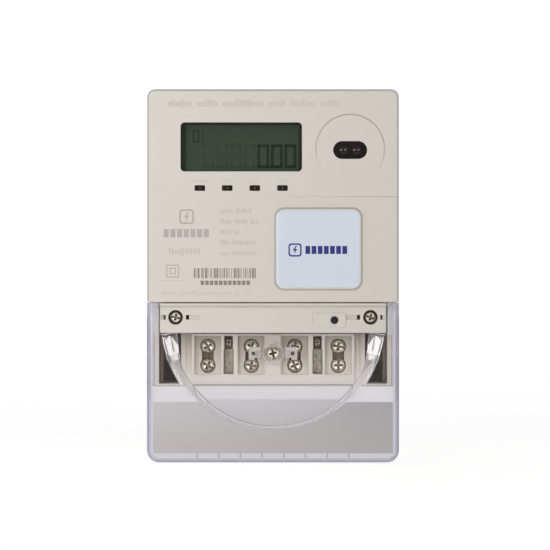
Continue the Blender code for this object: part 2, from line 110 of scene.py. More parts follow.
FACE_OUT = 60.0
FACE_BOTTOM = -32.5
PLATEAU_OUT = 61.4
PANEL_OUT = 54.0
PANEL_HALF = 57.0
LIP_OUT = 57.5
WALL = 2.2
CLEAR_WALL = 1.8
POCKET_FLOOR = 27.8
SCOOP_CENTRE_Z = -42.0
SCOOP_RADIUS = 54.5
SCOOP_FLOOR = 34.0
MOUTH_HALF = 57.6
MOUTH_Z = -48.6


# Shapes


def point(x, out, z):
    return Vector((x, -out, z)) * MM


def mesh_object(name, bm):
    bmesh.ops.recalc_face_normals(bm, faces=bm.faces)
    mesh = bpy.data.meshes.new(name)
    bm.to_mesh(mesh)
    bm.free()
    obj = bpy.data.objects.new(name, mesh)
    bpy.context.scene.collection.objects.link(obj)
    return obj


def block(name, x, out, z, radius=0.0, front=0.0, steps=6):
    """A box. radius rounds its four edges along Y and front the edges of its front face."""
    lo, hi = point(x[0], out[1], z[0]), point(x[1], out[0], z[1])
    bm = bmesh.new()
    bmesh.ops.create_cube(bm, size=1.0)
    bmesh.ops.transform(bm, matrix=Matrix.Diagonal((*(hi - lo), 1.0)), verts=bm.verts)
    bmesh.ops.translate(bm, vec=(lo + hi) / 2, verts=bm.verts)
    if radius:
        round_edges(bm, lambda e: abs(e.verts[0].co.y - e.verts[1].co.y) > 1e-9, radius, steps)
    if front:
        round_edges(bm, lambda e: all(abs(v.co.y - lo.y) < 1e-7 for v in e.verts), front, steps)
    return mesh_object(name, bm)


def round_edges(bm, wanted, radius, steps):
    edges = [edge for edge in bm.edges if wanted(edge)]
    bmesh.ops.bevel(
        bm, geom=edges, offset=radius * MM, segments=steps, profile=0.5, affect="EDGES"
    )


def ring_at(at, radius, out, sides):
    turn = 2 * math.pi / sides
    return [
        point(at[0] + radius * math.cos(i * turn), out, at[1] + radius * math.sin(i * turn))
        for i in range(sides)
    ]


def loft(name, rings):
    """A closed solid through rings of points. A ring of one point is a tip."""
    bm = bmesh.new()
    made = [[bm.verts.new(co) for co in ring] for ring in rings]
    for ring in (made[0], made[-1]):
        if len(ring) > 2:
            bm.faces.new(ring)
    for near, far in zip(made, made[1:]):
        count = max(len(near), len(far))
        for i in range(count):
            j = (i + 1) % count
            corners = [near[i % len(near)], near[j % len(near)], far[j % len(far)], far[i % len(far)]]
            bm.faces.new(list(dict.fromkeys(corners)))
    return mesh_object(name, bm)


def turned(name, at, profile, sides=40):
    """A turned solid: (radius, out) points about an axis parallel to Y."""
    rings = [
        ring_at(at, radius, out, sides) if radius else [point(at[0], out, at[1])]
        for radius, out in profile
    ]
    return loft(name, rings)


def rod(name, at, radius, out, sides=48):
    return loft(name, [ring_at(at, radius, out[0], sides), ring_at(at, radius, out[1], sides)])


def upright_rod(name, x, out, radius, z, sides=32):
    """A cylinder whose axis is parallel to Z."""
    turn = 2 * math.pi / sides
    rings = [
        [point(x + radius * math.cos(i * turn), out + radius * math.sin(i * turn), end) for i in range(sides)]
        for end in z
    ]
    return loft(name, rings)


def prism(name, outline, out):
    return loft(name, [[point(x, level, z) for x, z in outline] for level in out])


def rounded_outline(x, z, radius, out, steps=4):
    """A rounded rectangle of points at one distance from the wall."""
    points = []
    corners = ((x[1], z[1], 0), (x[0], z[1], 1), (x[0], z[0], 2), (x[1], z[0], 3))
    for corner_x, corner_z, quarter in corners:
        centre_x = corner_x - math.copysign(radius, corner_x - middle(x))
        centre_z = corner_z - math.copysign(radius, corner_z - middle(z))
        for step in range(steps + 1):
            angle = math.pi / 2 * (quarter + step / steps)
            points.append(point(centre_x + radius * math.cos(angle), out, centre_z + radius * math.sin(angle)))
    return points


def funnel(name, x, floor, z, mouth, radius=0.4, chamfer=0.35):
    """A tool for a pocket whose mouth is chamfered where it breaks the surface."""
    sizes = ((floor, 0.0), (mouth - chamfer, 0.0), (mouth, chamfer), (mouth + 1.0, chamfer + 1.0))
    return loft(name, [rounded_outline(grown(x, by), grown(z, by), radius + by, out) for out, by in sizes])


def moved_corners(obj, wanted, change):
    """Moves the vertices that are wanted, each by a change to its (x, out, z)."""
    for vertex in obj.data.vertices:
        x, out, z = vertex.co.x / MM, -vertex.co.y / MM, vertex.co.z / MM
        if wanted(x, out, z):
            vertex.co = point(*change(x, out, z))
    return obj


def settle(obj):
    """Applies an object's modifiers to its mesh and clears up after them."""
    graph = bpy.context.evaluated_depsgraph_get()
    mesh = bpy.data.meshes.new_from_object(obj.evaluated_get(graph), depsgraph=graph)
    obj.modifiers.clear()
    obj.data = mesh
    bm = bmesh.new()
    bm.from_mesh(mesh)
    bmesh.ops.remove_doubles(bm, verts=bm.verts, dist=2e-6)
    bmesh.ops.dissolve_limit(bm, angle_limit=math.radians(0.4), verts=bm.verts, edges=bm.edges)
    bm.to_mesh(mesh)
    bm.free()


def combine(obj, operation, tools):
    for tool in tools:
        modifier = obj.modifiers.new(tool.name, "BOOLEAN")
        modifier.operation = operation
        modifier.object = tool
    settle(obj)
    for tool in tools:
        bpy.data.objects.remove(tool, do_unlink=True)
    return obj


def cut(obj, *tools):
    return combine(obj, "DIFFERENCE", tools)


def join(obj, *tools):
    return combine(obj, "UNION", tools)


def soften(obj, width, segments=2, angle=32):
    """Breaks the sharp edges by a small radius and shades what is left smoothly."""
    bevel = obj.modifiers.new("edges", "BEVEL")
    bevel.width = width * MM
    bevel.segments = segments
    bevel.limit_method = "ANGLE"
    bevel.angle_limit = math.radians(angle)
    bevel.use_clamp_overlap = False
    bevel.miter_outer = "MITER_ARC"
    return smooth(obj)


def smooth(obj, angle=32):
    """Shades an object smoothly, apart from its sharp edges."""
    for polygon in obj.data.polygons:
        polygon.use_smooth = True
    obj.data.set_sharp_from_angle(angle=math.radians(angle))
    weigh = obj.modifiers.new("normals", "WEIGHTED_NORMAL")
    weigh.keep_sharp = True
    return obj


# Materials


def srgb(red, green, blue):
    """A linear colour from an sRGB one."""
    channels = []
    for value in (red, green, blue):
        share = value / 255
        channels.append(share / 12.92 if share <= 0.04045 else ((share + 0.055) / 1.055) ** 2.4)
    return (*channels, 1.0)


def node(tree, kind, inputs=None, **settings):
    made = tree.nodes.new("ShaderNode" + kind)
    for key, value in settings.items():
        setattr(made, key, value)
    for key, value in (inputs or {}).items():
        if isinstance(value, bpy.types.NodeSocket):
            tree.links.new(value, made.inputs[key])
        else:
            made.inputs[key].default_value = value
    return made


def maths(tree, operation, a, b=0.0, clamp=False):
    return node(tree, "Math", {0: a, 1: b}, operation=operation, use_clamp=clamp).outputs[0]


def product(tree, *values):
    total = values[0]
    for value in values[1:]:
        total = maths(tree, "MULTIPLY", total, value)
    return total


def largest(tree, *values):
    total = values[0]
    for value in values[1:]:
        total = maths(tree, "MAXIMUM", total, value)
    return total


def blended(tree, factor, low, high):
    """A number that runs from low to high as the factor runs from 0 to 1."""
    made = maths(tree, "MULTIPLY_ADD", factor, high - low)
    made.node.inputs[2].default_value = low
    return made


def ramp(tree, value, span, smoothly=True):
    """Runs from 0 to 1 as a value crosses a span, in either direction."""
    kind = "SMOOTHSTEP" if smoothly else "LINEAR"
    inputs = {"Value": value, 1: min(span), 2: max(span)}
    rising = node(tree, "MapRange", inputs, interpolation_type=kind, clamp=True).outputs[0]
    return rising if span[0] < span[1] else maths(tree, "SUBTRACT", 1.0, rising)


def mix_colour(tree, factor, a, b):
    made = node(tree, "Mix", {"Factor": factor}, data_type="RGBA")
    for key, value in ((6, a), (7, b)):
        if isinstance(value, bpy.types.NodeSocket):
            tree.links.new(value, made.inputs[key])
        else:
            made.inputs[key].default_value = value
    return made.outputs[2]


def new_material(name):
    """A material with an empty tree, its tree and its coordinates in the object's own space."""
    material = bpy.data.materials.new(name)
    material.use_nodes = True
    tree = material.node_tree
    tree.nodes.clear()
    coordinates = node(tree, "TexCoord").outputs["Object"]
    return material, tree, coordinates


def facing_front(tree):
    """1 where a surface faces the front or the back, and 0 where it is square to them."""
    normal = node(tree, "NewGeometry").outputs["Normal"]
    return maths(tree, "ABSOLUTE", node(tree, "SeparateXYZ", {0: normal}).outputs[1])


def speckle(tree, coordinates, size, detail=2.0):
    """Noise whose grains are about size millimetres."""
    inputs = {"Vector": coordinates, "Scale": 1.0 / (size * MM), "Detail": detail}
    return node(tree, "TexNoise", inputs).outputs["Fac"]


def output(tree, shader):
    node(tree, "OutputMaterial", {"Surface": shader})


def scaled_colour(colour, by):
    return (*(channel * by for channel in colour[:3]), 1.0)


def moulded(name, colour, roughness=0.45, grain=0.35, relief=0.02, drift=0.03, specular=0.4, end=None, edge=0.0):
    """Moulded plastic: spark-eroded grain, faint flow marks and an uneven gloss.

    end, where it is given, is the colour that painted shade turns the plastic to across the object's width, towards its
    right side.
    edge is how much painted shade darkens the plastic where it slopes.
    """
    material, tree, coordinates = new_material(name)
    flow = speckle(tree, coordinates, 30.0)
    fine = speckle(tree, coordinates, grain, 3.0)
    darker = scaled_colour(colour, 1 - drift)
    lighter = scaled_colour(colour, 1 + drift)
    tone = mix_colour(tree, flow, darker, lighter)
    # Painted shade: the plastic darkens across its width, most at the right.
    if end:
        x = node(tree, "SeparateXYZ", {0: coordinates}).outputs[0]
        across = ramp(tree, x, (-0.063, 0.063), smoothly=False)
        tone = mix_colour(tree, maths(tree, "MULTIPLY", across, 0.8), tone, end)
    tone = mix_colour(tree, maths(tree, "MULTIPLY", fine, 0.12), tone, darker)
    # Painted shade: faces that slope between the front and the sides, such as bevels, are darkened.
    if edge:
        lean = facing_front(tree)
        slope_shade = product(tree, ramp(tree, lean, (0.985, 0.8)), ramp(tree, lean, (0.2, 0.45)), edge)
        tone = mix_colour(tree, slope_shade, tone, scaled_colour(colour, 0.6))
    gloss = maths(tree, "MULTIPLY_ADD", fine, 0.12)
    gloss.node.inputs[2].default_value = roughness - 0.06
    bump = node(tree, "Bump", {"Strength": 0.5, "Distance": relief * MM, "Height": fine})
    shader = node(
        tree,
        "BsdfPrincipled",
        {
            "Base Color": tone,
            "Roughness": gloss,
            "Specular IOR Level": specular,
            "Normal": bump.outputs[0],
        },
    )
    output(tree, shader.outputs[0])
    return material


def block_plastic(name):
    """The terminal block's plastic, with painted shade darkening its pockets, most of all near their tops."""
    material = moulded(name, srgb(236, 229, 219), 0.5, grain=0.5)
    tree = material.node_tree
    shader = next(one for one in tree.nodes if one.type == "BSDF_PRINCIPLED")
    plain = shader.inputs["Base Color"].links[0].from_socket
    coordinates = node(tree, "TexCoord").outputs["Object"]
    parts = node(tree, "SeparateXYZ", {0: coordinates}).outputs
    # Painted shade: behind the block's front, the pocket floors darken towards their tops.
    pocket_shade_mask = ramp(tree, parts[1], (-BLOCK_REACH[1] * MM + 0.0004, -BLOCK_REACH[1] * MM + 0.0016))
    height = ramp(tree, parts[2], (-0.0705, -0.0505), smoothly=False)
    depth = product(tree, pocket_shade_mask, blended(tree, height, 0.0, 0.6))
    tree.links.new(mix_colour(tree, depth, plain, srgb(146, 136, 120)), shader.inputs["Base Color"])
    return material


def metal(name, colour, roughness=0.3, tarnish=0.25, grain=0.25):
    """Plated or bare metal, a little tarnished, with fine tool marks and painted shade that darkens its hollows."""
    material, tree, coordinates = new_material(name)
    stain = speckle(tree, coordinates, 1.6, 4.0)
    marks = speckle(tree, coordinates, grain, 2.0)
    tone = mix_colour(tree, ramp(tree, stain, (0.42, 0.68)), colour, scaled_colour(colour, 1 - tarnish))
    # Painted shade: where ambient occlusion finds a hollow, such as a screw's slot, the colour goes nearly black.
    hollow_shade = node(tree, "AmbientOcclusion", {"Distance": 1.2 * MM}, samples=6).outputs["AO"]
    tone = mix_colour(tree, ramp(tree, hollow_shade, (0.88, 0.48)), tone, scaled_colour(colour, 0.06))
    gloss = maths(tree, "MULTIPLY_ADD", stain, 0.25)
    gloss.node.inputs[2].default_value = roughness - 0.1
    bump = node(tree, "Bump", {"Strength": 0.5, "Distance": 0.03 * MM, "Height": marks})
    shader = node(
        tree,
        "BsdfPrincipled",
        {"Base Color": tone, "Roughness": gloss, "Metallic": 1.0, "Normal": bump.outputs[0]},
    )
    output(tree, shader.outputs[0])
    return material


def circuit_laminate(name):
    """Solder resist over copper tracks, with tinned pads in rows."""
    material, tree, coordinates = new_material(name)
    turn = node(tree, "Mapping", {"Vector": coordinates, "Rotation": (math.pi / 2, 0.0, 0.0)})
    brick_inputs = {
        "Vector": turn.outputs[0],
        "Scale": 1.0,
        "Mortar Size": 0.25 * MM,
        "Brick Width": 9.0 * MM,
        "Row Height": 2.4 * MM,
        "Color1": srgb(18, 84, 46),
        "Color2": srgb(24, 98, 54),
        "Mortar": srgb(46, 128, 74),
    }
    tracks = node(tree, "TexBrick", brick_inputs)
    cells = node(tree, "TexVoronoi", {"Vector": turn.outputs[0], "Scale": 1 / (5.0 * MM)})
    pads = ramp(tree, cells.outputs["Distance"], (0.2, 0.15))
    tone = mix_colour(tree, pads, tracks.outputs["Color"], srgb(196, 198, 200))
    shader = node(
        tree, "BsdfPrincipled", {"Base Color": tone, "Roughness": 0.35, "Metallic": pads}
    )
    output(tree, shader.outputs[0])
    return material


def clear_plastic(name):
    """Clear polycarbonate, lavender at its edges.

    Painted light and shade stand in for what is seen in it: a grey field of painted shade below the terminals, where
    the cover is empty, and a painted sheen along its sides. Painted highlights on the scoop's wall glow in two petals
    at each upper end, and painted light and shade make lines along its arc.
    """
    material, tree, coordinates = new_material(name)
    parts = node(tree, "SeparateXYZ", {0: coordinates}).outputs
    x, z = parts[0], parts[2]
    out = maths(tree, "MULTIPLY", parts[1], -1.0)
    layers = (
        front_painted_light(tree, coordinates, x, out, z),
        side_painted_sheen(tree, x, z),
        *scoop_lights(tree, x, out, z),
    )
    tone, strength = layers[0]
    for layer_tone, layer_strength in layers[1:]:
        tone = mix_colour(tree, ramp(tree, layer_strength, (0.0, 0.1)), tone, layer_tone)
        strength = largest(tree, strength, layer_strength)
    glass = node(
        tree,
        "BsdfPrincipled",
        {
            "Base Color": srgb(253, 253, 253),
            "Roughness": 0.015,
            "IOR": 1.5,
            "Specular IOR Level": 0.15,
            "Transmission Weight": 1.0,
        },
    )
    # This pale shader carries the painted light and shade of the layers above.
    haze = node(
        tree,
        "BsdfPrincipled",
        {
            "Base Color": tone,
            "Roughness": 0.3,
            "Specular IOR Level": 0.2,
            "Emission Color": tone,
            # Painted highlight: the petals glow with their own light.
            "Emission Strength": product(tree, layers[2][1], 0.45),
        },
    )
    seen = node(tree, "MixShader", {0: strength, 1: glass.outputs[0], 2: haze.outputs[0]})
    clear = node(tree, "BsdfTransparent", {"Color": srgb(252, 252, 253)})
    path = node(tree, "LightPath").outputs
    passing = largest(tree, path["Is Shadow Ray"], path["Is Diffuse Ray"])
    output(tree, node(tree, "MixShader", {0: passing, 1: seen.outputs[0], 2: clear.outputs[0]}).outputs[0])
    return material


def front_painted_light(tree, coordinates, x, out, z):
    """Painted light and shade on the faces square to the front: a pale band, a dark line, a grey field of painted shade
    that darkens towards the right and lower down, and a pale foot.
    """
    facing = ramp(tree, facing_front(tree), (0.55, 0.85))
    proud = ramp(tree, out, (0.05, 0.055))
    below_case = maths(tree, "SUBTRACT", z, product(tree, maths(tree, "SUBTRACT", out, 0.031), 0.048))
    band = ramp(tree, below_case, (-0.0752, -0.0756))
    # Painted shade: a thin dark line just below the top of the pale band.
    rim = product(tree, ramp(tree, below_case, (-0.0752, -0.0755)), ramp(tree, below_case, (-0.0763, -0.0759)))
    # Painted shade: the grey field stands in for the shaded floor seen through the cover.
    field = ramp(tree, z, (-0.0822, -0.0829))
    foot = ramp(tree, z, (-0.1079, -0.1086))
    sole = ramp(tree, z, (-0.1112, -0.1117))
    # Painted shade, deeper towards the right.
    shade_to_right = ramp(tree, x, (-0.055, 0.06), smoothly=False)
    lower = ramp(tree, z, (-0.084, -0.104), smoothly=False)
    floor_grey = mix_colour(tree, shade_to_right, srgb(219, 214, 217), srgb(196, 191, 195))
    front_grey = mix_colour(tree, shade_to_right, srgb(202, 197, 200), srgb(168, 164, 168))
    grey = mix_colour(tree, proud, floor_grey, front_grey)
    # Painted shade, deeper lower down.
    grey = mix_colour(tree, product(tree, lower, 0.5), grey, srgb(184, 178, 173))
    cloud = speckle(tree, coordinates, 45.0)
    grey = mix_colour(tree, product(tree, cloud, 0.2), grey, srgb(196, 191, 190))
    tone = mix_colour(tree, field, srgb(225, 221, 226), grey)
    tone = mix_colour(tree, product(tree, rim, 0.7), tone, srgb(150, 145, 143))
    tone = mix_colour(tree, foot, tone, srgb(216, 211, 214))
    tone = mix_colour(tree, sole, tone, srgb(208, 201, 206))
    # Painted shade in the knock-out scores.
    tone = mix_colour(tree, knock_out_score_shade(tree, x, z), tone, srgb(104, 98, 100))
    strength = maths(tree, "ADD", product(tree, band, 0.66), product(tree, field, 0.26))
    wide = maths(tree, "ABSOLUTE", x)
    edge = product(tree, ramp(tree, wide, (0.0598, 0.0604)), 0.62)
    arm = product(tree, ramp(tree, z, (-0.0492, -0.0484)), 0.3)
    tone = mix_colour(tree, ramp(tree, wide, (0.0598, 0.0604)), tone, srgb(214, 211, 221))
    tone = mix_colour(tree, arm, tone, srgb(176, 172, 170))
    return tone, product(tree, largest(tree, strength, edge, arm), facing)


def knock_out_score_shade(tree, x, z):
    """Painted shade along the scores across the cover's foot, where its knock-outs break away."""
    first, pitch, count = 0.0055, 0.0108, 4
    steps = maths(tree, "DIVIDE", maths(tree, "SUBTRACT", maths(tree, "ABSOLUTE", x), first), pitch)
    off = maths(tree, "ABSOLUTE", maths(tree, "SUBTRACT", steps, maths(tree, "ROUND", steps)))
    line = ramp(tree, off, (0.05, 0.025))
    inside = ramp(tree, steps, (count - 0.4, count - 0.6))
    upper = product(tree, ramp(tree, z, (-0.1079, -0.1083)), ramp(tree, z, (-0.1108, -0.1104)), 0.5)
    lower = product(tree, ramp(tree, z, (-0.1114, -0.1117)), 0.9)
    return product(tree, line, inside, largest(tree, upper, lower))


def side_painted_sheen(tree, x, z):
    """Painted sheen on the walls where they are seen at a grazing angle and on their sloping faces, thickest at the
    tops of the arms.
    """
    side = ramp(tree, facing_front(tree), (0.6, 0.3))
    # Painted reflection: the walls go pale where they are seen at a grazing angle.
    grazing = ramp(tree, node(tree, "LayerWeight", {"Blend": 0.5}).outputs["Facing"], (0.6, 0.97))
    arm_top = product(tree, ramp(tree, z, (-0.0365, -0.035)), 0.92)
    clear = product(tree, near_scoop(tree, x, z), ramp(tree, z, (-0.0482, -0.049)))
    haze = product(tree, largest(tree, product(tree, grazing, 0.66), arm_top), side)
    haze = product(tree, haze, maths(tree, "SUBTRACT", 1.0, clear))
    lean = facing_front(tree)
    edge = product(tree, ramp(tree, lean, (0.985, 0.9)), ramp(tree, lean, (0.3, 0.5)), 0.6)
    return srgb(192, 189, 206), largest(tree, haze, edge)


def from_scoop_axis(tree, x, z):
    drop = maths(tree, "SUBTRACT", z, SCOOP_CENTRE_Z * MM)
    return maths(tree, "SQRT", maths(tree, "ADD", product(tree, x, x), product(tree, drop, drop)))


def near_scoop(tree, x, z):
    """1 in the ring that holds the scoop's wall, from its inside to its outside."""
    reach = from_scoop_axis(tree, x, z)
    return product(tree, ramp(tree, reach, (0.046, 0.047)), ramp(tree, reach, (0.06, 0.0595)))


def scoop_lights(tree, x, out, z):
    """What shines on the scoop's wall. across runs from 0 at its front edge to 1 at its floor."""
    depth = (CLEAR_REACH[1] - SCOOP_FLOOR) * MM
    across = maths(tree, "DIVIDE", maths(tree, "SUBTRACT", CLEAR_REACH[1] * MM, out), depth)
    lean = maths(
        tree,
        "ADD",
        blended(tree, ramp(tree, z, (-0.096, -0.068)), 0.0003, 0.0017),
        blended(tree, ramp(tree, z, (-0.068, -0.051)), 0.0, 0.0028),
    )
    wall = maths(tree, "SUBTRACT", SCOOP_RADIUS * MM, product(tree, across, lean))
    miss = maths(tree, "ABSOLUTE", maths(tree, "SUBTRACT", from_scoop_axis(tree, x, z), wall))
    here = product(
        tree,
        ramp(tree, miss, (0.0011, 0.0008)),
        ramp(tree, z, (-0.0482, -0.049)),
        ramp(tree, facing_front(tree), (0.9, 0.7)),
    )
    fall = maths(tree, "DIVIDE", maths(tree, "SUBTRACT", -0.0495, z), MM)

    rounding = maths(tree, "SUBTRACT", 1.0, maths(tree, "DIVIDE", across, 0.43))
    outer_top = maths(tree, "SUBTRACT", fall, product(tree, rounding, rounding, 2.5))
    outer = product(
        tree,
        ramp(tree, across, (0.47, 0.43)),
        ramp(tree, outer_top, (-0.1, 0.4)),
        ramp(tree, fall, (10.2, 9.4)),
    )
    inner_start = blended(tree, fall, 0.5, 0.52)
    inner_top = maths(tree, "SUBTRACT", fall, product(tree, maths(tree, "SUBTRACT", across, 0.5), 10.0))
    inner = product(
        tree,
        ramp(tree, maths(tree, "SUBTRACT", across, inner_start), (-0.01, 0.03)),
        ramp(tree, inner_top, (-0.1, 0.4)),
        ramp(tree, fall, (9.6, 9.1)),
    )
    petals = product(tree, largest(tree, outer, inner), here, 0.94)

    opening = blended(tree, ramp(tree, z, (-0.061, -0.07)), 0.1, 0.95)
    closing = blended(tree, ramp(tree, z, (-0.073, -0.081)), 0.0, 0.73)
    end = blended(tree, ramp(tree, z, (-0.084, -0.092)), 0.0, 0.16)
    width = maths(tree, "SUBTRACT", maths(tree, "SUBTRACT", opening, closing), end)
    spare = maths(tree, "SUBTRACT", across, width)
    below = ramp(tree, z, (-0.0585, -0.0595))
    fading = blended(tree, ramp(tree, z, (-0.082, -0.09)), 0.8, 0.25)
    bright = product(tree, ramp(tree, spare, (0.03, -0.03)), below, here, fading)
    dark_low = ramp(tree, z, (-0.074, -0.078))
    dark = product(tree, ramp(tree, spare, (0.03, 0.09)), ramp(tree, spare, (0.32, 0.24)), dark_low, here, 0.6)
    rest = product(tree, ramp(tree, spare, (0.28, 0.34)), dark_low, here, 0.3)
    shadow = mix_colour(tree, ramp(tree, z, (-0.084, -0.091)), srgb(108, 102, 107), srgb(158, 151, 157))
    return (
        (srgb(246, 243, 242), petals),
        (srgb(238, 234, 235), bright),
        (shadow, dark),
        (srgb(186, 182, 190), rest),
    )


def frosted_plastic(name, share):
    """Clear plastic with a frosted surface: a share of it scatters light."""
    material, tree, coordinates = new_material(name)
    cloud = speckle(tree, coordinates, 1.5)
    tone = mix_colour(tree, cloud, srgb(222, 214, 209), srgb(238, 232, 229))
    haze = node(tree, "BsdfPrincipled", {"Base Color": tone, "Roughness": 0.3})
    clear = node(tree, "BsdfTransparent")
    output(tree, node(tree, "MixShader", {0: share, 1: clear.outputs[0], 2: haze.outputs[0]}).outputs[0])
    return material


def clear_pane(name, colour, specular, coat=0.0):
    """A thin flat pane: it lets the view straight through and adds only its gloss."""
    material, tree, coordinates = new_material(name)
    smear = speckle(tree, coordinates, 12.0)
    gloss = maths(tree, "MULTIPLY_ADD", smear, 0.05)
    gloss.node.inputs[2].default_value = 0.03
    fresnel = node(tree, "Fresnel", {"IOR": 1.35}).outputs[0]
    shine = node(tree, "BsdfGlossy", {"Roughness": gloss})
    clear = node(tree, "BsdfTransparent", {"Color": colour})
    share = maths(tree, "MULTIPLY", fresnel, specular)
    output(tree, node(tree, "MixShader", {0: share, 1: clear.outputs[0], 2: shine.outputs[0]}).outputs[0])
    return material


def display_cell_material(name):
    """The liquid crystal cell: green-grey, with painted shade darkening it towards its top and left edges and painted
    light making it lighter towards its bottom.
    """
    material, tree, coordinates = new_material(name)
    parts = node(tree, "SeparateXYZ", {0: coordinates}).outputs
    # Painted shade under the opening's top and left walls.
    upper = ramp(tree, parts[2], (WINDOW_Z[1] * MM - 0.012, WINDOW_Z[1] * MM), smoothly=False)
    left = ramp(tree, parts[0], (WINDOW_X[0] * MM + 0.009, WINDOW_X[0] * MM), smoothly=False)
    edge = maths(tree, "MAXIMUM", upper, left)
    grid = speckle(tree, coordinates, 0.3)
    tone = mix_colour(tree, maths(tree, "MULTIPLY", edge, 0.5), srgb(77, 89, 74), srgb(62, 73, 57))
    # Painted light towards the bottom of the cell.
    lower = ramp(tree, parts[2], (WINDOW_Z[0] * MM + 0.009, WINDOW_Z[0] * MM), smoothly=False)
    tone = mix_colour(tree, product(tree, lower, 0.8), tone, srgb(86, 97, 82))
    tone = mix_colour(tree, maths(tree, "MULTIPLY", grid, 0.15), tone, srgb(78, 88, 74))
    shader = node(
        tree,
        "BsdfPrincipled",
        {"Base Color": tone, "Roughness": 0.5, "Specular IOR Level": 0.1},
    )
    output(tree, shader.outputs[0])
    return material


# The ivory carries painted shade: darker towards the right and on its sloping faces.
IVORY = moulded("ivory_plastic", srgb(219, 213, 204), 0.46, end=srgb(204, 199, 189), edge=0.8)
PANEL_IVORY = moulded("plate_plastic", srgb(211, 206, 196), 0.4)
BLOCK_PLASTIC = block_plastic("block_plastic")
PHENOLIC = moulded("dark_phenolic", srgb(118, 105, 89), 0.7, grain=0.6, relief=0.04, drift=0.12, specular=0.08)
RUBBER = moulded("gasket_rubber", srgb(44, 43, 42), 0.8, grain=0.2)
CLEAR = clear_plastic("clear_plastic")
FROSTED = frosted_plastic("frosted_plastic", 0.55)
FROSTED_FAINT = frosted_plastic("frosted_ring", 0.35)
WINDOW = clear_pane("display_window", srgb(244, 246, 244), 0.5)
CELL = display_cell_material("display_glass")
BEZEL = moulded("display_bezel", srgb(62, 66, 50), 0.6, grain=0.2, specular=0.1)
DIGIT_INK = moulded("display_digit", srgb(50, 62, 54), 0.6, grain=0.1, relief=0.0, specular=0.1)
GHOST_INK = moulded("display_ghost", srgb(60, 71, 58), 0.6, grain=0.1, relief=0.0, specular=0.1)
FAINT_SEGMENT = moulded("display_faint", srgb(74, 86, 72), 0.6, grain=0.1, relief=0.0, specular=0.1)
DIFFUSER = moulded("white_diffuser", srgb(236, 236, 232), 0.6)
SMOKED = moulded("smoked_led", srgb(34, 28, 21), 0.22, grain=0.4, relief=0.01, drift=0.3, specular=0.3)
PORT_BLACK = moulded("port_black", srgb(34, 28, 27), 0.16, grain=0.4, relief=0.004, specular=0.15)
LENS_BLACK = moulded("lens_black", srgb(36, 29, 29), 0.1, grain=0.4, relief=0.0, specular=0.2)
GLINT = moulded("lens_glint", srgb(196, 172, 166), 0.4, grain=0.4, relief=0.0)
LED_DOT = moulded("led_dot", srgb(96, 88, 76), 0.5, grain=0.4, relief=0.0)
BLACK_GLOSS = moulded("black_gloss", srgb(26, 25, 26), 0.2, grain=0.4, relief=0.005)
PAD_PLASTIC = moulded("pad_plastic", srgb(211, 218, 229), 0.3, grain=0.6, relief=0.008, drift=0.01)
BUTTON_BLUE = moulded("button_blue", srgb(18, 12, 30), 0.3, grain=0.3, relief=0.01)
GREY_INK = moulded("grey_ink", srgb(180, 176, 170), 0.6, grain=0.15, relief=0.004, drift=0.06)
PALE_INK = moulded("pale_ink", srgb(194, 190, 183), 0.6, grain=0.15, relief=0.004, drift=0.06)
FAINT_INK = moulded("faint_ink", srgb(205, 199, 190), 0.6, grain=0.15, relief=0.004)
HALO_INK = moulded("display_halo", srgb(70, 82, 68), 0.6, grain=0.1, relief=0.0, specular=0.1)
DARK_INK = moulded("dark_ink", srgb(138, 132, 124), 0.6, grain=0.15, relief=0.004, drift=0.06)
BLUE_INK = moulded("blue_ink", srgb(34, 42, 122), 0.5, grain=0.15, relief=0.004, drift=0.06)
NICKEL = metal("nickel_steel", srgb(238, 226, 208), 0.2, tarnish=0.5)
ZINC = metal("zinc_steel", srgb(196, 198, 202), 0.35)
BRASS = metal("clamp_brass", srgb(138, 118, 94), 0.42, tarnish=0.5)
TAB_BRASS = metal("tab_brass", srgb(196, 188, 172), 0.42, tarnish=0.3)
COPPER = metal("copper", srgb(214, 141, 108), 0.35)
MANGANIN = metal("manganin", srgb(178, 160, 142), 0.38)
SLEEVE = metal("battery_sleeve", srgb(150, 155, 160), 0.3)
LAMINATE = circuit_laminate("circuit_board")
COMPONENT = moulded("component_black", srgb(38, 38, 40), 0.45, grain=0.5)
CAPACITOR = moulded("capacitor_yellow", srgb(212, 180, 60), 0.35)
TAPE = moulded("transformer_tape", srgb(196, 170, 72), 0.35, grain=1.2, drift=0.1)
EPOXY = moulded("epoxy_blue", srgb(42, 66, 108), 0.4, grain=0.8)

CARRIED_OVER = {
    RUBBER: ("cover_gasket",),
    DIFFUSER: ("lcd_backlight",),
    BLACK_GLOSS: ("ir_emitter", "ir_receiver"),
    ZINC: ("magnet_ring", "board_screw_1", "board_screw_2", "board_screw_3", "board_screw_4"),
    LAMINATE: ("main_board", "antenna_board"),
    COPPER: ("antenna_coil", "live_in_bar", "live_out_bar", "neutral_bar"),
    MANGANIN: ("shunt",),
    BRASS: (*CLAMP_NODES, *AUX_NODES),
    COMPONENT: ("latching_relay", "filter_capacitor", "buzzer", "key_switch"),
    CAPACITOR: ("safety_capacitor",),
    TAPE: ("supply_transformer",),
    EPOXY: ("current_transformer",),
    SLEEVE: ("backup_battery",),
}


def dress_carried_over():
    for material, names in CARRIED_OVER.items():
        for name in names:
            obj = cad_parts[name]
            for slot in obj.material_slots:
                slot.material = material


def add(obj, body, material, slot, *nodes):
    """Gives a finished shape its material, its body and the CAD nodes it stands for."""
    obj.data.materials.clear()
    obj.data.materials.append(material)
    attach(obj, body)
    if nodes:
        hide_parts(*nodes)
    return obj


# The case


def housing(name, x, out, top, front=0.0):
    """A box with rounded upper corners, cut off square at the face's bottom."""
    made = block(name, x, out, (FACE_BOTTOM - 6, top), 4.0, front)
    return cut(made, block("below", grown(x, 2), grown(out, 2), (FACE_BOTTOM - 9, FACE_BOTTOM)))


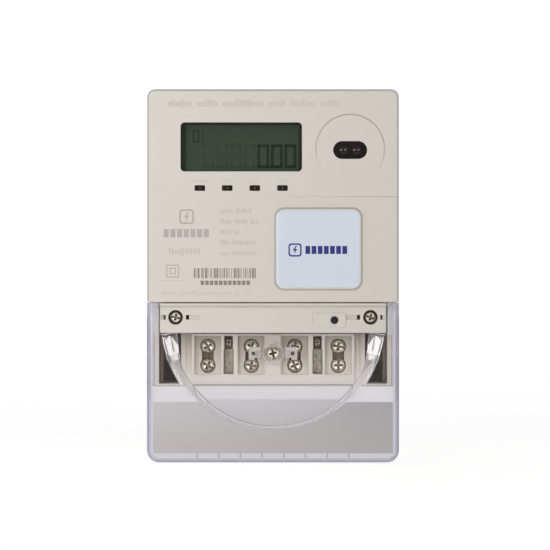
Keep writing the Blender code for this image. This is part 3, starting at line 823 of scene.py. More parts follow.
def wall_case():
    """The tray on the wall, with the relief of ribs and the hanger's way in its back."""
    lower_half = 60.8
    case = housing("wall_case", BASE_X, BASE_REACH, BASE_Z[1])
    join(case, block("lower", around(0, lower_half), BASE_REACH, (BASE_Z[0], -30), 1.0))
    cut(
        case,
        block("room", around(0, 60.2), (2.4, 31), (-30.1, 71.2), 2.0),
        block("lower_room", around(0, lower_half - 2.4), (2.4, 31), (-74.6, -28)),
        block("cable_way", grown(BLOCK_X, 0.4), (2.4, 31), (-78, -74)),
    )
    for side, _ in SIDES:
        join(
            case,
            block("ledge", mirrored(side, 54.6, 59.0), (27.2, 29.6), (-48.6, -29.9)),
            rod("post", (side * SEAL[0], SEAL[1]), 4.2, (1.5, 29.6)),
        )
    join(case, block("hanger_pad", around(0, 15), (1.8, 6.0), (42, 72)))
    cut(case, block("hanger_way", around(0, 11), (-1, 3.0), (44, 75)))
    for side, _ in SIDES:
        cut(
            case,
            rod("post_bore", (side * SEAL[0], SEAL[1]), 1.8, (16, 31)),
            rod("fixing_hole", (side * 53.0, -62.0), 2.7, (-1, 4)),
            block("relief_top", mirrored(side, 19, 56), (-1, 0.9), (40, 67), 2.5),
            block("relief_middle", mirrored(side, 2, 56), (-1, 0.9), (3, 36), 2.5),
            block("relief_low", mirrored(side, 2, 56), (-1, 0.9), (-29, -1), 2.5),
            block("relief_foot", mirrored(side, 2, 45), (-1, 0.9), (-72, -48), 2.5),
            block("side_groove", mirrored(side, 62.3, 64), (10.0, 10.8), (-28, 69)),
        )
    return add(soften(case, 0.3), "case", IVORY, "ivory_plastic", "base_case")


def pad_plateau():
    """The raised seat of the card pad, its sides sloping in from the face to the pad."""
    foot_x, foot_z = (-0.15, 46.0), (-28.3, 15.7)
    top_x, top_z = grown(SEEN_PAD_X, 0.7), grown(SEEN_PAD_Z, 0.7)
    plateau = block("plateau", foot_x, (58.0, PLATEAU_OUT), foot_z, 5.0)
    return moved_corners(
        plateau,
        lambda x, out, z: out > FACE_OUT,
        lambda x, out, z: (between(x, foot_x, top_x), out, between(z, foot_z, top_z)),
    )


def port_disc():
    """The optical port's disc. It rises towards its top, and its foot is flush with the face."""
    radius = 17.0
    disc = rod("disc", PORT, radius, (58, FACE_OUT + 0.4), 96)
    return moved_corners(
        disc,
        lambda x, out, z: out > FACE_OUT,
        lambda x, out, z: (x, between(z, around(PORT[1], radius), (FACE_OUT - 0.1, out)), z),
    )


def disc_groove():
    """The line round the port's disc. It is tipped, so it fades out at the disc's foot."""
    section = ((17.0, 61.5), (17.42, 61.5), (17.42, 59.9), (17.0, 59.9))
    rings = [ring_at(PORT, radius, out, 96) for radius, out in section]
    bm = bmesh.new()
    made = [[bm.verts.new(co) for co in ring] for ring in rings]
    for near, far in zip(made, (*made[1:], made[0])):
        for i in range(96):
            j = (i + 1) % 96
            bm.faces.new([near[i], near[j], far[j], far[i]])
    groove = mesh_object("disc_groove", bm)
    return moved_corners(
        groove,
        lambda x, out, z: out < FACE_OUT,
        lambda x, out, z: (x, between(z, around(PORT[1], 17.3), (60.08, 59.1)), z),
    )


def crease():
    """A fine V-groove across the face, shallower towards its left end."""
    z = 20.2
    half = 0.2
    left, right = -4.0, COVER_X[1] + 1
    ends = []
    for x, depth in ((left, 0.05), (right, 0.3)):
        ends.append([
            point(x, FACE_OUT + 0.3, z - 2 * half),
            point(x, FACE_OUT + 0.3, z + 2 * half),
            point(x, FACE_OUT - depth, z + 0.02),
            point(x, FACE_OUT - depth, z - 0.02),
        ])
    return loft("crease", ends)


def obround(name, size, out, steps=10):
    half_width, half_height = size[0] / 2, size[1] / 2
    centre = place("optical_window")
    return block(name, around(centre[0], half_width), out, around(centre[1], half_height), half_height - 0.05, steps=steps)


def seal_slot(side, near, far):
    """A slot beside a seal screw, deep next to the screw and shallow away from it."""
    slot = block("slot", mirrored(side, near, far), (52.5, PANEL_OUT + 1), around(SEAL[1], 1.2))
    shallow = near if near < SEAL[0] - 6 else far
    return moved_corners(
        slot,
        lambda x, out, z: out < PANEL_OUT and abs(abs(x) - shallow) < 0.1,
        lambda x, out, z: (x, 53.0, z),
    )


def face_moulding():
    """The face with its plateau, port disc and openings, and the panel set back below it."""
    face = housing("face_moulding", COVER_X, (30.1, FACE_OUT), COVER_Z[1], 1.6)
    join(
        face,
        block("panel", around(0, PANEL_HALF), (31.5, PANEL_OUT), (COVER_Z[0], -31), 0.6, 0.5),
        block("lip", around(0, PANEL_HALF - 0.2), (52.5, LIP_OUT), (-34.6, FACE_BOTTOM - 0.55), 0.7, 0.4),
    )
    inside = COVER_X[1] - WALL
    cut(
        face,
        block("face_room", around(0, inside), (29, FACE_OUT - WALL), (-30.3, COVER_Z[1] - WALL), 2.0),
        block("panel_room", around(0, PANEL_HALF - WALL), (29, PANEL_OUT - WALL), (COVER_Z[0] + WALL, -29)),
        block("skirt", around(0, COVER_X[1] - 0.5), (29, 31.5), (FACE_BOTTOM - 0.5, COVER_Z[1] - 0.5), 3.5),
    )
    join(face, pad_plateau())
    for side, _ in SIDES:
        at = (side * SEAL[0], SEAL[1])
        join(face, rod("seal_boss", at, 4.6, (30.6, 53)))
        cut(face, rod("seal_seat", at, 3.65, (50.9, 56)), rod("seal_bore", at, 1.9, (29, 52)))
    cut(
        face,
        block("display_opening", grown(WINDOW_X, -1.55), (54, 62), grown(WINDOW_Z, -1.55), 2.0),
        block("pad_seat", grown(SEEN_PAD_X, 0.06), (59.6, 63), grown(SEEN_PAD_Z, 0.06), 3.06),
        *(led_opening(name) for name in LED_NODES),
    )
    settle(soften(face, 0.22))
    join(face, port_disc())
    cut(
        face,
        crease(),
        disc_groove(),
        obround("port_opening", (17.0, 8.9), (54, 62)),
        block("plate_seat", grown(PLATE_X, 0.04), (53, 55), grown(PLATE_Z, 0.04), 0.84),
        rod("key_hole", KEY, 2.1, (50, 56)),
    )
    for side, _ in SIDES:
        cut(
            face,
            seal_slot(side, 36.8, 43.8),
            seal_slot(side, 54.0, 56.2),
            block("slot_end", mirrored(side, 42.3, 43.75), (48, 55), around(SEAL[1], 1.15)),
            block("slot_end", mirrored(side, 54.05, 55.0), (49, 55), around(SEAL[1], 1.15)),
        )
    return add(smooth(face), "case", IVORY, "ivory_plastic", "front_cover")


def led_opening(name):
    x, _, z = spans(name)
    return block("opening", grown(x, 0.3), (54, 62), grown(z, 0.3), 0.3, steps=2)


def seal_shadow_rings():
    """A dark ring round each seal screw, at the bottom of its seat, that stands in for the shadow round the screw's
    head.
    """
    for side, name in SIDES:
        at = (side * SEAL[0], SEAL[1])
        # Painted shade: this dark ring is put where the screw's head casts its shadow.
        shadow_ring = turned("seal_shadow_ring_" + name, at, [(0, 52.7), (3.5, 52.7), (3.6, 52.5), (3.6, 50.95), (0, 50.95)])
        cut(shadow_ring, rod("bore", at, 2.95, (50, 54)))
        add(smooth(shadow_ring), "case", RUBBER, "gasket_rubber")


def hanger_tab():
    x, out, z = spans("hanger")
    tab = block("hanger_tab", x, out, z, 2.0)
    cut(
        tab,
        rod("hole", (0, 67.5), 2.9, (-1, 4)),
        block("grip_1", around(0, 6), (1.7, 3), (50.0, 50.8)),
        block("grip_2", around(0, 6), (1.7, 3), (52.6, 53.4)),
        block("grip_3", around(0, 6), (1.7, 3), (55.2, 56.0)),
    )
    return add(soften(tab, 0.25), "hanger", IVORY, "ivory_plastic", "hanger")


# Screws


def screw(node, body, reach, shank, turn, slot_width=0.8):
    """A pan-head screw with a slot and a cross recess in one, and a threaded shank."""
    x, _, _ = spans(node)
    at = place(node)
    radius = (x[1] - x[0]) / 2
    front, under, tip = reach
    drop = front - under
    profile = [
        (0, front - drop * 0.12),
        (radius * 0.35, front - drop * 0.09),
        (radius * 0.58, front),
        (radius * 0.76, front - drop * 0.08),
        (radius * 0.91, front - drop * 0.27),
        (radius * 0.985, front - drop * 0.5),
        (radius, front - drop * 0.75),
        (radius, under + 0.1),
        (radius - 0.1, under),
        (shank, under),
    ]
    pitch = 0.8
    level = under - 0.6
    while level - pitch > tip + 0.6:
        profile += [(shank, level), (shank - 0.3, level - pitch / 2)]
        level -= pitch
    profile += [(shank, tip + 0.5), (shank - 0.5, tip), (0, tip)]
    made = turned(node + "_plated", at, profile)
    half = slot_width / 2
    slot = block("slot", around(at[0], radius + 1), (front - drop * 0.5, front + 1), around(at[1], half))
    cross = block("cross", around(at[0], half), (front - drop * 0.7, front + 1), around(at[1], radius * 0.6))
    well = turned("well", at, [(0, front - drop * 0.68), (radius * 0.3, front + 0.1), (0, front + 0.1)], 12)
    spin = Matrix.Rotation(turn, 4, "Y")
    centre = point(at[0], 0, at[1])
    about = Matrix.Translation(centre) @ spin @ Matrix.Translation(-centre)
    for tool in (slot, cross, well):
        tool.data.transform(about)
    cut(made, slot, cross, well)
    return add(soften(made, 0.09, 2, 40), body, NICKEL, "nickel_steel", node)


def screws():
    turns = random.Random(7)
    for number in range(1, 9):
        name = f"terminal_screw_{number}"
        _, out, _ = spans(name)
        screw(name, name, (out[1], 26.5, out[0]), 2.1, turns.uniform(0, math.pi), 1.1)
    for number in (1, 2):
        name = f"aux_screw_{number}"
        _, out, _ = spans(name)
        screw(name, name, (out[1], 24.5, out[0]), 1.0, turns.uniform(0, math.pi), 0.65)
    for _, side in SIDES:
        name = "seal_screw_" + side
        _, out, _ = spans(name)
        screw(name, name, (out[1], 51.2, out[0]), 1.5, turns.uniform(0, math.pi), 1.0)
    name = "terminal_cover_screw"
    _, out, _ = spans(name)
    screw(name, name, (out[1], 35.6, out[0]), 1.6, turns.uniform(0, math.pi), 1.1)


# Display, indicators, port, pad and key


def seven_segments(shown, left, bottom, width, height, thick):
    """The lit bars of one digit as (x, z) spans. Bars are named a to g as is usual."""
    gap = 0.18
    middle_z = bottom + height / 2
    right = left + width
    upright_low = (bottom + gap, middle_z - gap / 2)
    upright_high = (middle_z + gap / 2, bottom + height - gap)
    bars = {
        "a": ((left + thick * 0.6, right - thick * 0.6), (bottom + height - thick, bottom + height)),
        "b": ((right - thick, right), upright_high),
        "c": ((right - thick, right), upright_low),
        "d": ((left + thick * 0.6, right - thick * 0.6), (bottom, bottom + thick)),
        "e": ((left, left + thick), upright_low),
        "f": ((left, left + thick), upright_high),
        "g": ((left + thick, right - thick), around(middle_z, thick / 2)),
    }
    return [bars[letter] for letter in shown]


def raised(name, bars, out, lean=0.0, radius=0.0):
    """One thin piece made of many small bars, each an (x, z) pair of spans."""
    bm = bmesh.new()
    for x, z in bars:
        corners = [(x[0], z[0]), (x[1], z[0]), (x[1], z[1]), (x[0], z[1])]
        front, back = (
            [bm.verts.new(point(cx + lean * (cz - z[0]), level, cz)) for cx, cz in corners]
            for level in (out[1], out[0])
        )
        bm.faces.new(front)
        bm.faces.new(back)
        for i in range(4):
            j = (i + 1) % 4
            bm.faces.new([front[i], front[j], back[j], back[i]])
    return mesh_object(name, bm)


def display():
    """The clear window, the dark mask round the cell, the cell and its segments."""
    view_x, view_z = grown(WINDOW_X, -1.55), grown(WINDOW_Z, -1.55)
    pane = block("display_pane", grown(WINDOW_X, -0.05), (56.2, 57.5), grown(WINDOW_Z, -0.05))
    join(pane, block("step", grown(view_x, -0.3), (57, WINDOW_REACH[1]), grown(view_z, -0.3), 1.7))
    add(soften(pane, 0.15), "case", WINDOW, "display_window", "lcd_window")

    glass_x, glass_out, glass_z = spans("lcd_glass")
    cell = block("display_cell", glass_x, glass_out, glass_z)
    add(soften(cell, 0.1), "case", CELL, "display_glass", "lcd_glass")

    front = glass_out[1]
    mask = block("display_mask", grown(WINDOW_X, -0.4), (front + 0.1, front + 0.6), grown(WINDOW_Z, -0.4))
    seen_x = (view_x[0] + 2.3, view_x[1] - 1.6)
    seen_z = (view_z[0] + 0.35, view_z[1] - 1.1)
    cut(mask, block("sight", seen_x, (54, 58), seen_z, 0.5))
    add(soften(mask, 0.08), "case", BEZEL, "display_window")

    right = view_x[1] - 2.9
    bottom = view_z[0] + 1.9
    pitch, width, height, thick = 6.8, 5.8, 11.8, 1.25
    lit, faint, ghosts = [], [], []
    for place_number in range(7):
        left = right - width - place_number * pitch
        shown = "abcdef" if place_number < 3 else ""
        unlit = "g" if shown else "abcdefg"
        lit += seven_segments(shown, left, bottom, width, height, thick)
        faint += seven_segments(unlit, left, bottom, width, height, thick)
    point_x = right - 3 * pitch + 1.0 + pitch
    lit.append((around(point_x - 0.35, 0.4), (bottom, bottom + 0.8)))
    small_left = view_x[0] + 5.9
    small_bottom = view_z[1] - 9.9
    for number, shown in enumerate(("abcdef", "ef")):
        left = small_left + number * 4.6
        ghosts += seven_segments(shown, left, small_bottom, 3.4, 6.6, 0.9)
    for number in range(6):
        left = right - 3.0 - number * 4.2
        faint += seven_segments("abcdefg", left, small_bottom + 1.6, 2.8, 4.6, 0.5)
    halo = [(grown(x, 0.3), grown(z, 0.3)) for x, z in lit]
    add(raised("display_digits", lit, (front - 0.02, front + 0.05)), "case", DIGIT_INK, "display_glass")
    add(raised("display_halo", halo, (front - 0.02, front + 0.04)), "case", HALO_INK, "display_glass")
    add(raised("display_ghosts", ghosts, (front - 0.02, front + 0.03)), "case", GHOST_INK, "display_glass")
    add(raised("display_faint", faint, (front - 0.02, front + 0.02)), "case", FAINT_SEGMENT, "display_glass")


def indicators():
    for number, name in enumerate(LED_NODES, 1):
        x, out, z = spans(name)
        lens = block(f"led_lens_{number}", x, (out[0], out[1]), z, 0.3, 0.35, 3)
        add(smooth(lens), "case", SMOKED, "smoked_led", name)
        # A small pale dot on the middle of each lens's front.
        dot = raised(f"led_dot_{number}", [(around(middle(x), 0.35), around(middle(z), 0.3))], (out[1] - 0.02, out[1] + 0.02))
        add(dot, "case", LED_DOT, "smoked_led")


def optical_window():
    """The dark window of the port, with a raised rim and a lens over each infrared diode."""
    width, height = 16.6, 8.5
    pane = obround("port_pane", (width + 3.4, height + 3.4), (56, 57.5))
    join(pane, obround("step", (width, height), (57, 59.5)))
    cut(pane, obround("dish", (width - 2.6, height - 2.6), (59.25, 60)))
    add(soften(pane, 0.2), "case", PORT_BLACK, "black_gloss", "optical_window")
    glints = []
    for name in ("ir_emitter", "ir_receiver"):
        at = place(name)
        dome = [(0, 59.75), (0.9, 59.68), (1.7, 59.5), (2.2, 59.25), (2.2, 59.0), (0, 59.0)]
        add(smooth(turned(name + "_lens", at, dome), 60), "case", LENS_BLACK, "black_gloss")
        for offset in (-0.85, 0.75):
            glints.append((around(at[0] + offset, 0.22), around(at[1] + 0.1, 0.2)))
    add(raised("lens_glints", glints, (59.6, 59.76)), "case", GLINT, "black_gloss")


def card_pad():
    """The pad over the card aerial: a crowned cushion of plastic with a faint wave relief."""
    columns, rows = 64, 64
    half_x = (SEEN_PAD_X[1] - SEEN_PAD_X[0]) / 2
    half_z = (SEEN_PAD_Z[1] - SEEN_PAD_Z[0]) / 2
    radius, edge = 3.0, 0.25
    centre = (middle(PAD_X), middle(PAD_Z))
    bm = bmesh.new()
    grid = []
    for row in range(rows + 1):
        line = []
        for column in range(columns + 1):
            u, v = 2 * column / columns - 1, 2 * row / rows - 1
            x, z = rounded_square(u * half_x, v * half_z, half_x, half_z, radius)
            line.append(bm.verts.new(point(centre[0] + x, pad_level(u, v, x, z, edge), centre[1] + z)))
        grid.append(line)
    for row in range(rows):
        for column in range(columns):
            bm.faces.new([
                grid[row][column],
                grid[row][column + 1],
                grid[row + 1][column + 1],
                grid[row + 1][column],
            ])
    rim = [
        *grid[0][:-1],
        *(line[-1] for line in grid[:-1]),
        *reversed(grid[-1][1:]),
        *(line[0] for line in reversed(grid[1:])),
    ]
    foot = [bm.verts.new((v.co.x, -PAD_REACH[0] * MM, v.co.z)) for v in rim]
    for i in range(len(rim)):
        j = (i + 1) % len(rim)
        bm.faces.new([rim[i], rim[j], foot[j], foot[i]])
    bm.faces.new(foot)
    pad = mesh_object("pad_cushion", bm)
    add(smooth(pad, 50), "case", PAD_PLASTIC, "pad_plastic", "card_pad")


def rounded_square(x, z, half_x, half_z, radius):
    """Draws a point of a square's grid in, where it lies in a corner that is rounded off."""
    core_x, core_z = half_x - radius, half_z - radius
    over_x, over_z = abs(x) - core_x, abs(z) - core_z
    if over_x <= 0 or over_z <= 0:
        return x, z
    far = max(over_x, over_z)
    length = math.hypot(over_x, over_z)
    scale = far / length
    return (
        math.copysign(core_x + over_x * scale, x),
        math.copysign(core_z + over_z * scale, z),
    )


def pad_level(u, v, x, z, edge):
    """How far out the pad's surface is: a low crown that rolls over near its edge."""
    reach = max(abs(u), abs(v))
    roll = max(0.0, (reach - 0.955) / 0.045)
    crown = 0.12 * (1 - reach * reach)
    waves = 0.018 * math.sin(x * 1.9 + 1.6 * math.sin(z * 0.9)) if -14 < z < 0 and -16 < x < 2 else 0.0
    fade = max(0.0, 1 - ((x + 7) / 9) ** 2) * max(0.0, 1 - ((z + 7) / 7) ** 2)
    return PAD_REACH[1] - 0.14 + crown + waves * fade - edge * (1 - math.sqrt(max(0.0, 1 - roll * roll)))


def key_and_plate():
    plate = block("key_plate", PLATE_X, PLATE_REACH, PLATE_Z, 0.8, 0.12)
    cut(plate, turned("well", KEY, [(0, 55), (3.0, 55), (2.6, 54.4), (1.95, 54.2), (1.95, 52), (0, 52)]))
    add(soften(plate, 0.05), "case", PANEL_IVORY, "ivory_plastic", "button_plate")
    out = spans("push_button")[1]
    profile = [
        (0, out[1] - 0.12),
        (0.7, out[1] - 0.08),
        (1.15, out[1]),
        (1.45, out[1] - 0.08),
        (1.62, out[1] - 0.35),
        (1.65, 51.5),
        (2.9, 51.5),
        (2.9, 50.5),
        (1.2, 50.5),
        (1.2, out[0]),
        (0, out[0]),
    ]
    add(smooth(turned("key_cap", KEY, profile)), "push_button", BUTTON_BLUE, "button_blue", "push_button")


# Terminals


def terminal_moulding():
    """The moulded block, its pockets open to the front and its cable tunnels to below."""
    front = BLOCK_REACH[1]
    made = block("terminal_moulding", BLOCK_X, (20, front), (BLOCK_Z[0], -49.2), 0.3, 0.25, 2)
    join(
        made,
        block("back", BLOCK_X, (BLOCK_REACH[0], 24.6), BLOCK_Z, 0.3, 0.25, 2),
        block("column", around(COVER_SCREW[0], 4.0), (29, front + 0.5), (-70.0, -49.6), 0.3, 0.25, 2),
    )
    for name in CLAMP_NODES:
        x, _ = place(name)
        wells = [place(screw) for screw in MAIN_SCREWS if abs(place(screw)[0] - x) < 3]
        tools = [
            *(rod("screw_well", at, 3.95, (23, POCKET_FLOOR + 1)) for at in wells),
            funnel("pocket", around(x, 6.8), POCKET_FLOOR, (-69.9, -50.2), front),
            block("clamp_room", around(x, 4.8), (9.4, 24.3), (-69.6, -51.7)),
            block("clamp_slit", around(x, 3.0), (23, POCKET_FLOOR + 1), (-66, -55)),
            block("bar_way", around(x, 3.4), (15.8, 18.2), (-52.5, -44)),
            upright_rod("tunnel", x, 17.0, 4.2, (-76, -69)),
        ]
        for side, _ in SIDES:
            tools.append(block("mark", around(x + side * 4.3, 0.12), (front - 0.25, 32), (-76, -70.8)))
        cut(made, *tools)
    for name in AUX_NODES:
        x, _ = place(name)
        cut(
            made,
            funnel("aux_slot", around(x, 2.2), 22, (-57.2, -50.2), front, 0.2, 0.2),
            funnel("aux_floor", around(x, 2.55), 23, (-69.8, -57.15), front, 0.2, 0.2),
            block("aux_room", around(x, 2.15), (13.7, 22.5), (-69.5, -51.0)),
            upright_rod("aux_tunnel", x, 18, 1.6, (-76, -69)),
        )
        tab = block(f"aux_tab_{name[-1]}", around(x, 2.4), (22.9, 23.4), (-69.6, -57.4), 0.5)
        add(smooth(tab), "case", TAB_BRASS, "clamp_brass")
    cut(made, rod("cover_thread", COVER_SCREW, 1.9, (18, 32)))
    for side, _ in SIDES:
        cut(
            made,
            block("step", mirrored(side, 41.6, 48), (28.8, 32), (-76, -48)),
            block("side_groove", mirrored(side, 44.4, 44.8), (28.3, 30), (-76, -48)),
        )
    add(smooth(made), "case", BLOCK_PLASTIC, "block_plastic", "terminal_block")


def dark_tray():
    """The dark tray behind and beside the block, with a boss at each lower fixing hole."""
    x, out, z = spans("insulating_tray")
    tray = block("dark_tray", x, (out[0], 4.6), z)
    for side, _ in SIDES:
        at = (side * 53.0, -62.0)
        join(
            tray,
            block("wall", mirrored(side, x[1], x[1] - 1.6), out, z),
            rod("boss", at, 4.6, (4, 8)),
            block("rib_1", mirrored(side, 48.5, x[1] - 0.5), (4, 7), (-55.4, -54.4)),
            block("rib_2", mirrored(side, 48.5, x[1] - 0.5), (4, 7), (-69.8, -68.8)),
        )
        cut(tray, rod("hole", at, 2.7, (1, 10)))
    add(soften(tray, 0.25), "case", PHENOLIC, "dark_phenolic", "insulating_tray")


# The clear cover


def scoop_ring(out, share, grow, draw_in):
    """The scoop's outline at one depth. share runs from 0 at its floor to 1 at the front."""
    turns = 96
    points = []
    for i in range(turns):
        angle = 2 * math.pi * i / turns
        from_bottom = math.degrees(abs(math.pi - angle))
        lean = 0.3 + 1.4 * rise(from_bottom, 15, 60) + 2.8 * rise(from_bottom, 60, 80)
        radius = SCOOP_RADIUS - (1 - share) * lean + grow - draw_in
        points.append(point(radius * math.sin(angle), out, SCOOP_CENTRE_Z + radius * math.cos(angle)))
    return points


def rise(value, lo, hi):
    share = min(1.0, max(0.0, (value - lo) / (hi - lo)))
    return share * share * (3 - 2 * share)


def scoop(name, floor, grow, fillet):
    """A tool that hollows the cover's front: a filleted floor and sides that lean outwards."""
    rings = [scoop_ring(floor, 0.0, grow, fillet)]
    for step in range(1, 5):
        angle = math.pi / 2 * step / 4
        level = floor + fillet * (1 - math.cos(angle))
        share = max(0.0, (level - SCOOP_FLOOR) / (CLEAR_REACH[1] - SCOOP_FLOOR))
        rings.append(scoop_ring(level, share, grow, fillet * (1 - math.sin(angle))))
    rings.append(scoop_ring(CLEAR_REACH[1], 1.0, grow, 0.0))
    rings.append(scoop_ring(CLEAR_REACH[1] + 2, 1.0, grow, 0.0))
    return loft(name, rings)


def clear_cover():
    """A clear box over the terminals, its front scooped away to a floor just over the block."""
    bottom, top = CLEAR_Z
    wall = CLEAR_WALL
    inner_half = CLEAR_X[1] - wall
    cover = block("clear_cover", CLEAR_X, CLEAR_REACH, (bottom, -20), 6.0, 3.0)
    inside = block(
        "inside", around(0, inner_half), (-1, CLEAR_REACH[1] - wall), (bottom + wall, top - wall), 4.2, 1.4
    )
    cut(inside, scoop("skin", SCOOP_FLOOR - wall, wall, 2.4))
    tools = [
        inside,
        scoop("scoop", SCOOP_FLOOR, 0.0, 0.6),
        block("mouth", around(0, MOUTH_HALF), (-2, 63), (MOUTH_Z, -10)),
        block("top", around(0, 70), (-2, 63), (top, -10)),
        block("case_way", around(0, inner_half), (-2, 31.8), (top - 6, -10)),
    ]
    for reach in (5.5, 16.3, 27.0, 38.0):
        for side, _ in SIDES:
            tools.append(block("knock_out", around(side * reach, 0.35), (4, CLEAR_REACH[1] - 4), (bottom - 1, bottom + 0.9)))
    cut(cover, *tools)
    settle(soften(cover, 0.25))
    scores = []
    for reach in (5.5, 16.3, 27.0, 38.0):
        for side, _ in SIDES:
            scores.append(block("score", around(side * reach, 0.22), (CLEAR_REACH[1] - 0.55, 62), (bottom - 1, bottom + 5.6)))
    cut(cover, *scores)
    catches = []
    for side, _ in SIDES:
        for low, high in ((-61.0, -54.7), (-106.3, -100.0)):
            catches.append(block("catch", mirrored(side, inner_half - 0.7, inner_half + 0.5), (8, 50), (low, high)))
    join(cover, *catches)
    cut(cover, rod("screw_hole", COVER_SCREW, 2.0, (30, 40)))
    add(smooth(cover), "terminal_cover", CLEAR, "clear_plastic", "terminal_cover")


def cover_lugs():
    """The ring round the cover's screw and a bracket on each side of it, in frosted plastic."""
    centre_x, centre_z = COVER_SCREW
    seat = (SCOOP_FLOOR + 0.02, SCOOP_FLOOR + 1.2)
    ring = turned("cover_ring", COVER_SCREW, [(0, seat[0]), (5.9, seat[0]), (5.9, seat[0] + 0.5), (5.4, seat[1]), (0, seat[1])])
    cut(ring, rod("middle", COVER_SCREW, 4.7, (30, 40)))
    add(smooth(ring), "terminal_cover", FROSTED_FAINT, "clear_plastic")
    for side, name in SIDES:
        lug = block("cover_lug_" + name, mirrored(side, 6.2, 12.4), (seat[0], 38.0), around(centre_z, 3.3), 0.5, 0.4, 3)
        cut(
            lug,
            block("hole", mirrored(side, 9.1, 10.9), (30, 40), around(centre_z, 1.0)),
            block("step", mirrored(side, 5.0, 8.6), (35.4, 40), around(centre_z, 1.5)),
            block("notch", mirrored(side, 5.0, 9.4), (30, 40), (centre_z - 5, centre_z - 2.2)),
        )
        lug.location.x = centre_x * MM
        add(soften(lug, 0.12), "terminal_cover", FROSTED, "clear_plastic")


# Printing


def greeked(words, x, z, bold=False, seed=1):
    """Short bars that stand in for a line of print, without any letters.

    Each letter is two thin strokes, or one solid block where the print is bold.
    """
    rng = random.Random(seed)
    pieces = sum(words) * 2 + (len(words) - 1) * 2
    pitch = (x[1] - x[0]) / pieces
    height = z[1] - z[0]
    bars = []
    at = x[0]
    for count in words:
        for _ in range(count):
            if bold:
                bars.append(((at, at + pitch * 1.55), z))
                at += 2 * pitch
                continue
            low = z[0] - (0.18 * height if rng.random() < 0.08 else 0.0)
            high = z[1] - (0.28 * height if rng.random() < 0.6 else 0.0)
            for _ in range(2):
                bars.append(((at, at + pitch * 0.5), (low, high)))
                at += pitch
        at += 2 * pitch
    return bars


def bolt(centre, size):
    """The outline of a lightning bolt, the plain sign for electricity."""
    shape = ((0.15, 1), (-0.55, -0.15), (-0.05, -0.15), (-0.2, -1), (0.55, 0.2), (0.05, 0.2), (0.45, 1))
    return [(centre[0] + u * size, centre[1] + v * size) for u, v in shape]


def badge(name, centre, half, out, material):
    """A rounded square frame with a lightning bolt in it."""
    frame_piece = block(name + "_frame", around(centre[0], half), out, around(centre[1], half), half * 0.45)
    cut(frame_piece, block("hole", around(centre[0], half * 0.78), (out[0] - 1, out[1] + 1), around(centre[1], half * 0.78), half * 0.3))
    slot = "pad_plastic" if material is BLUE_INK else "ivory_plastic"
    add(frame_piece, "case", material, slot)
    add(prism(name + "_bolt", bolt(centre, half * 0.62), out), "case", material, slot)


def bar_code(x, z):
    """A row of bars and spaces of seeded widths, which codes nothing."""
    rng = random.Random(23)
    unit = (x[1] - x[0]) / 102
    bars = []
    at = x[0]
    while at < x[1] - 3 * unit:
        width = rng.choice((1, 1, 2, 3)) * unit
        bars.append(((at, min(at + width, x[1])), z))
        at += width + rng.choice((1, 1, 2, 3)) * unit
    return bars


def printing():
    """Marks on the face and on the pad. Words are greeked, and the signs are plain ones."""
    film = (FACE_OUT - 0.02, FACE_OUT + 0.035)
    title = greeked((6, 5, 10, 4, 6, 5), (-52.7, 34.0), (65.3, 68.6), seed=3)
    name_line = greeked((7,), (-54.7, -31.3), (-0.2, 4.0), bold=True, seed=5)
    model_line = greeked((6,), (-52.0, -36.0), (-8.6, -5.6), seed=6)
    data = []
    for number, (words, right) in enumerate((((4, 5), -10.4), ((4, 5, 3), -7.0), ((4, 2), -16.6), ((3, 8), -8.6), ((3, 8), -8.6))):
        z = 13.2 - number * 5.3
        data += greeked(words, (-26.2, right), around(z, 1.15), seed=11 + number)
    maker = greeked((5, 7, 11, 2, 3), (-55.3, -10.4), (-29.0, -27.0), seed=21)
    serial = greeked((11,), (-36.2, -11.0), (-24.0, -21.8), bold=True, seed=22)
    labels = []
    for name, half in zip(LED_NODES, (4.6, 3.0, 2.5, 2.1)):
        x, z = place(name)
        labels += greeked((round(half * 1.5),), around(x, half), around(z + 3.7, 0.75), seed=31)
    code = bar_code((-39.6, -7.7), (-20.6, -15.6))
    for name, bars, ink in (
        ("title_print", title, PALE_INK),
        ("name_print", name_line, GREY_INK),
        ("model_print", model_line, PALE_INK),
        ("data_print", data, PALE_INK),
        ("maker_print", maker, FAINT_INK),
        ("serial_print", serial, DARK_INK),
        ("label_print", labels, FAINT_INK),
        ("bar_code_print", code, DARK_INK),
        ("rule_print", [((-57.4, -44.4), (-22.0, -21.75))], PALE_INK),
    ):
        add(raised(name, bars, film), "case", ink, "ivory_plastic")
    badge("face_badge", (-43.2, 10.2), 3.7, film, GREY_INK)
    insulation_sign((-50.2, -17.0), 3.2, film)
    pad_film = (PAD_REACH[1] - 0.2, PAD_REACH[1] - 0.0)
    badge("pad_badge", (11.0, -6.5), 3.3, pad_film, BLUE_INK)
    words = greeked((7,), (16.2, 37.7), (-8.5, -4.5), bold=True, seed=5)
    add(raised("pad_print", words, pad_film), "case", BLUE_INK, "pad_plastic")


def insulation_sign(centre, half, out):
    """Two plain squares, one in the other: the sign for double insulation."""
    bars = []
    for reach, thick in ((half, 0.5), (half * 0.5, 0.5)):
        for side in (-1, 1):
            edge = sorted((side * reach, side * (reach - thick)))
            bars.append(((centre[0] + edge[0], centre[0] + edge[1]), around(centre[1], reach)))
            bars.append((around(centre[0], reach - thick), (centre[1] + edge[0], centre[1] + edge[1])))
    add(raised("insulation_print", bars, out), "case", GREY_INK, "ivory_plastic")


# Studio


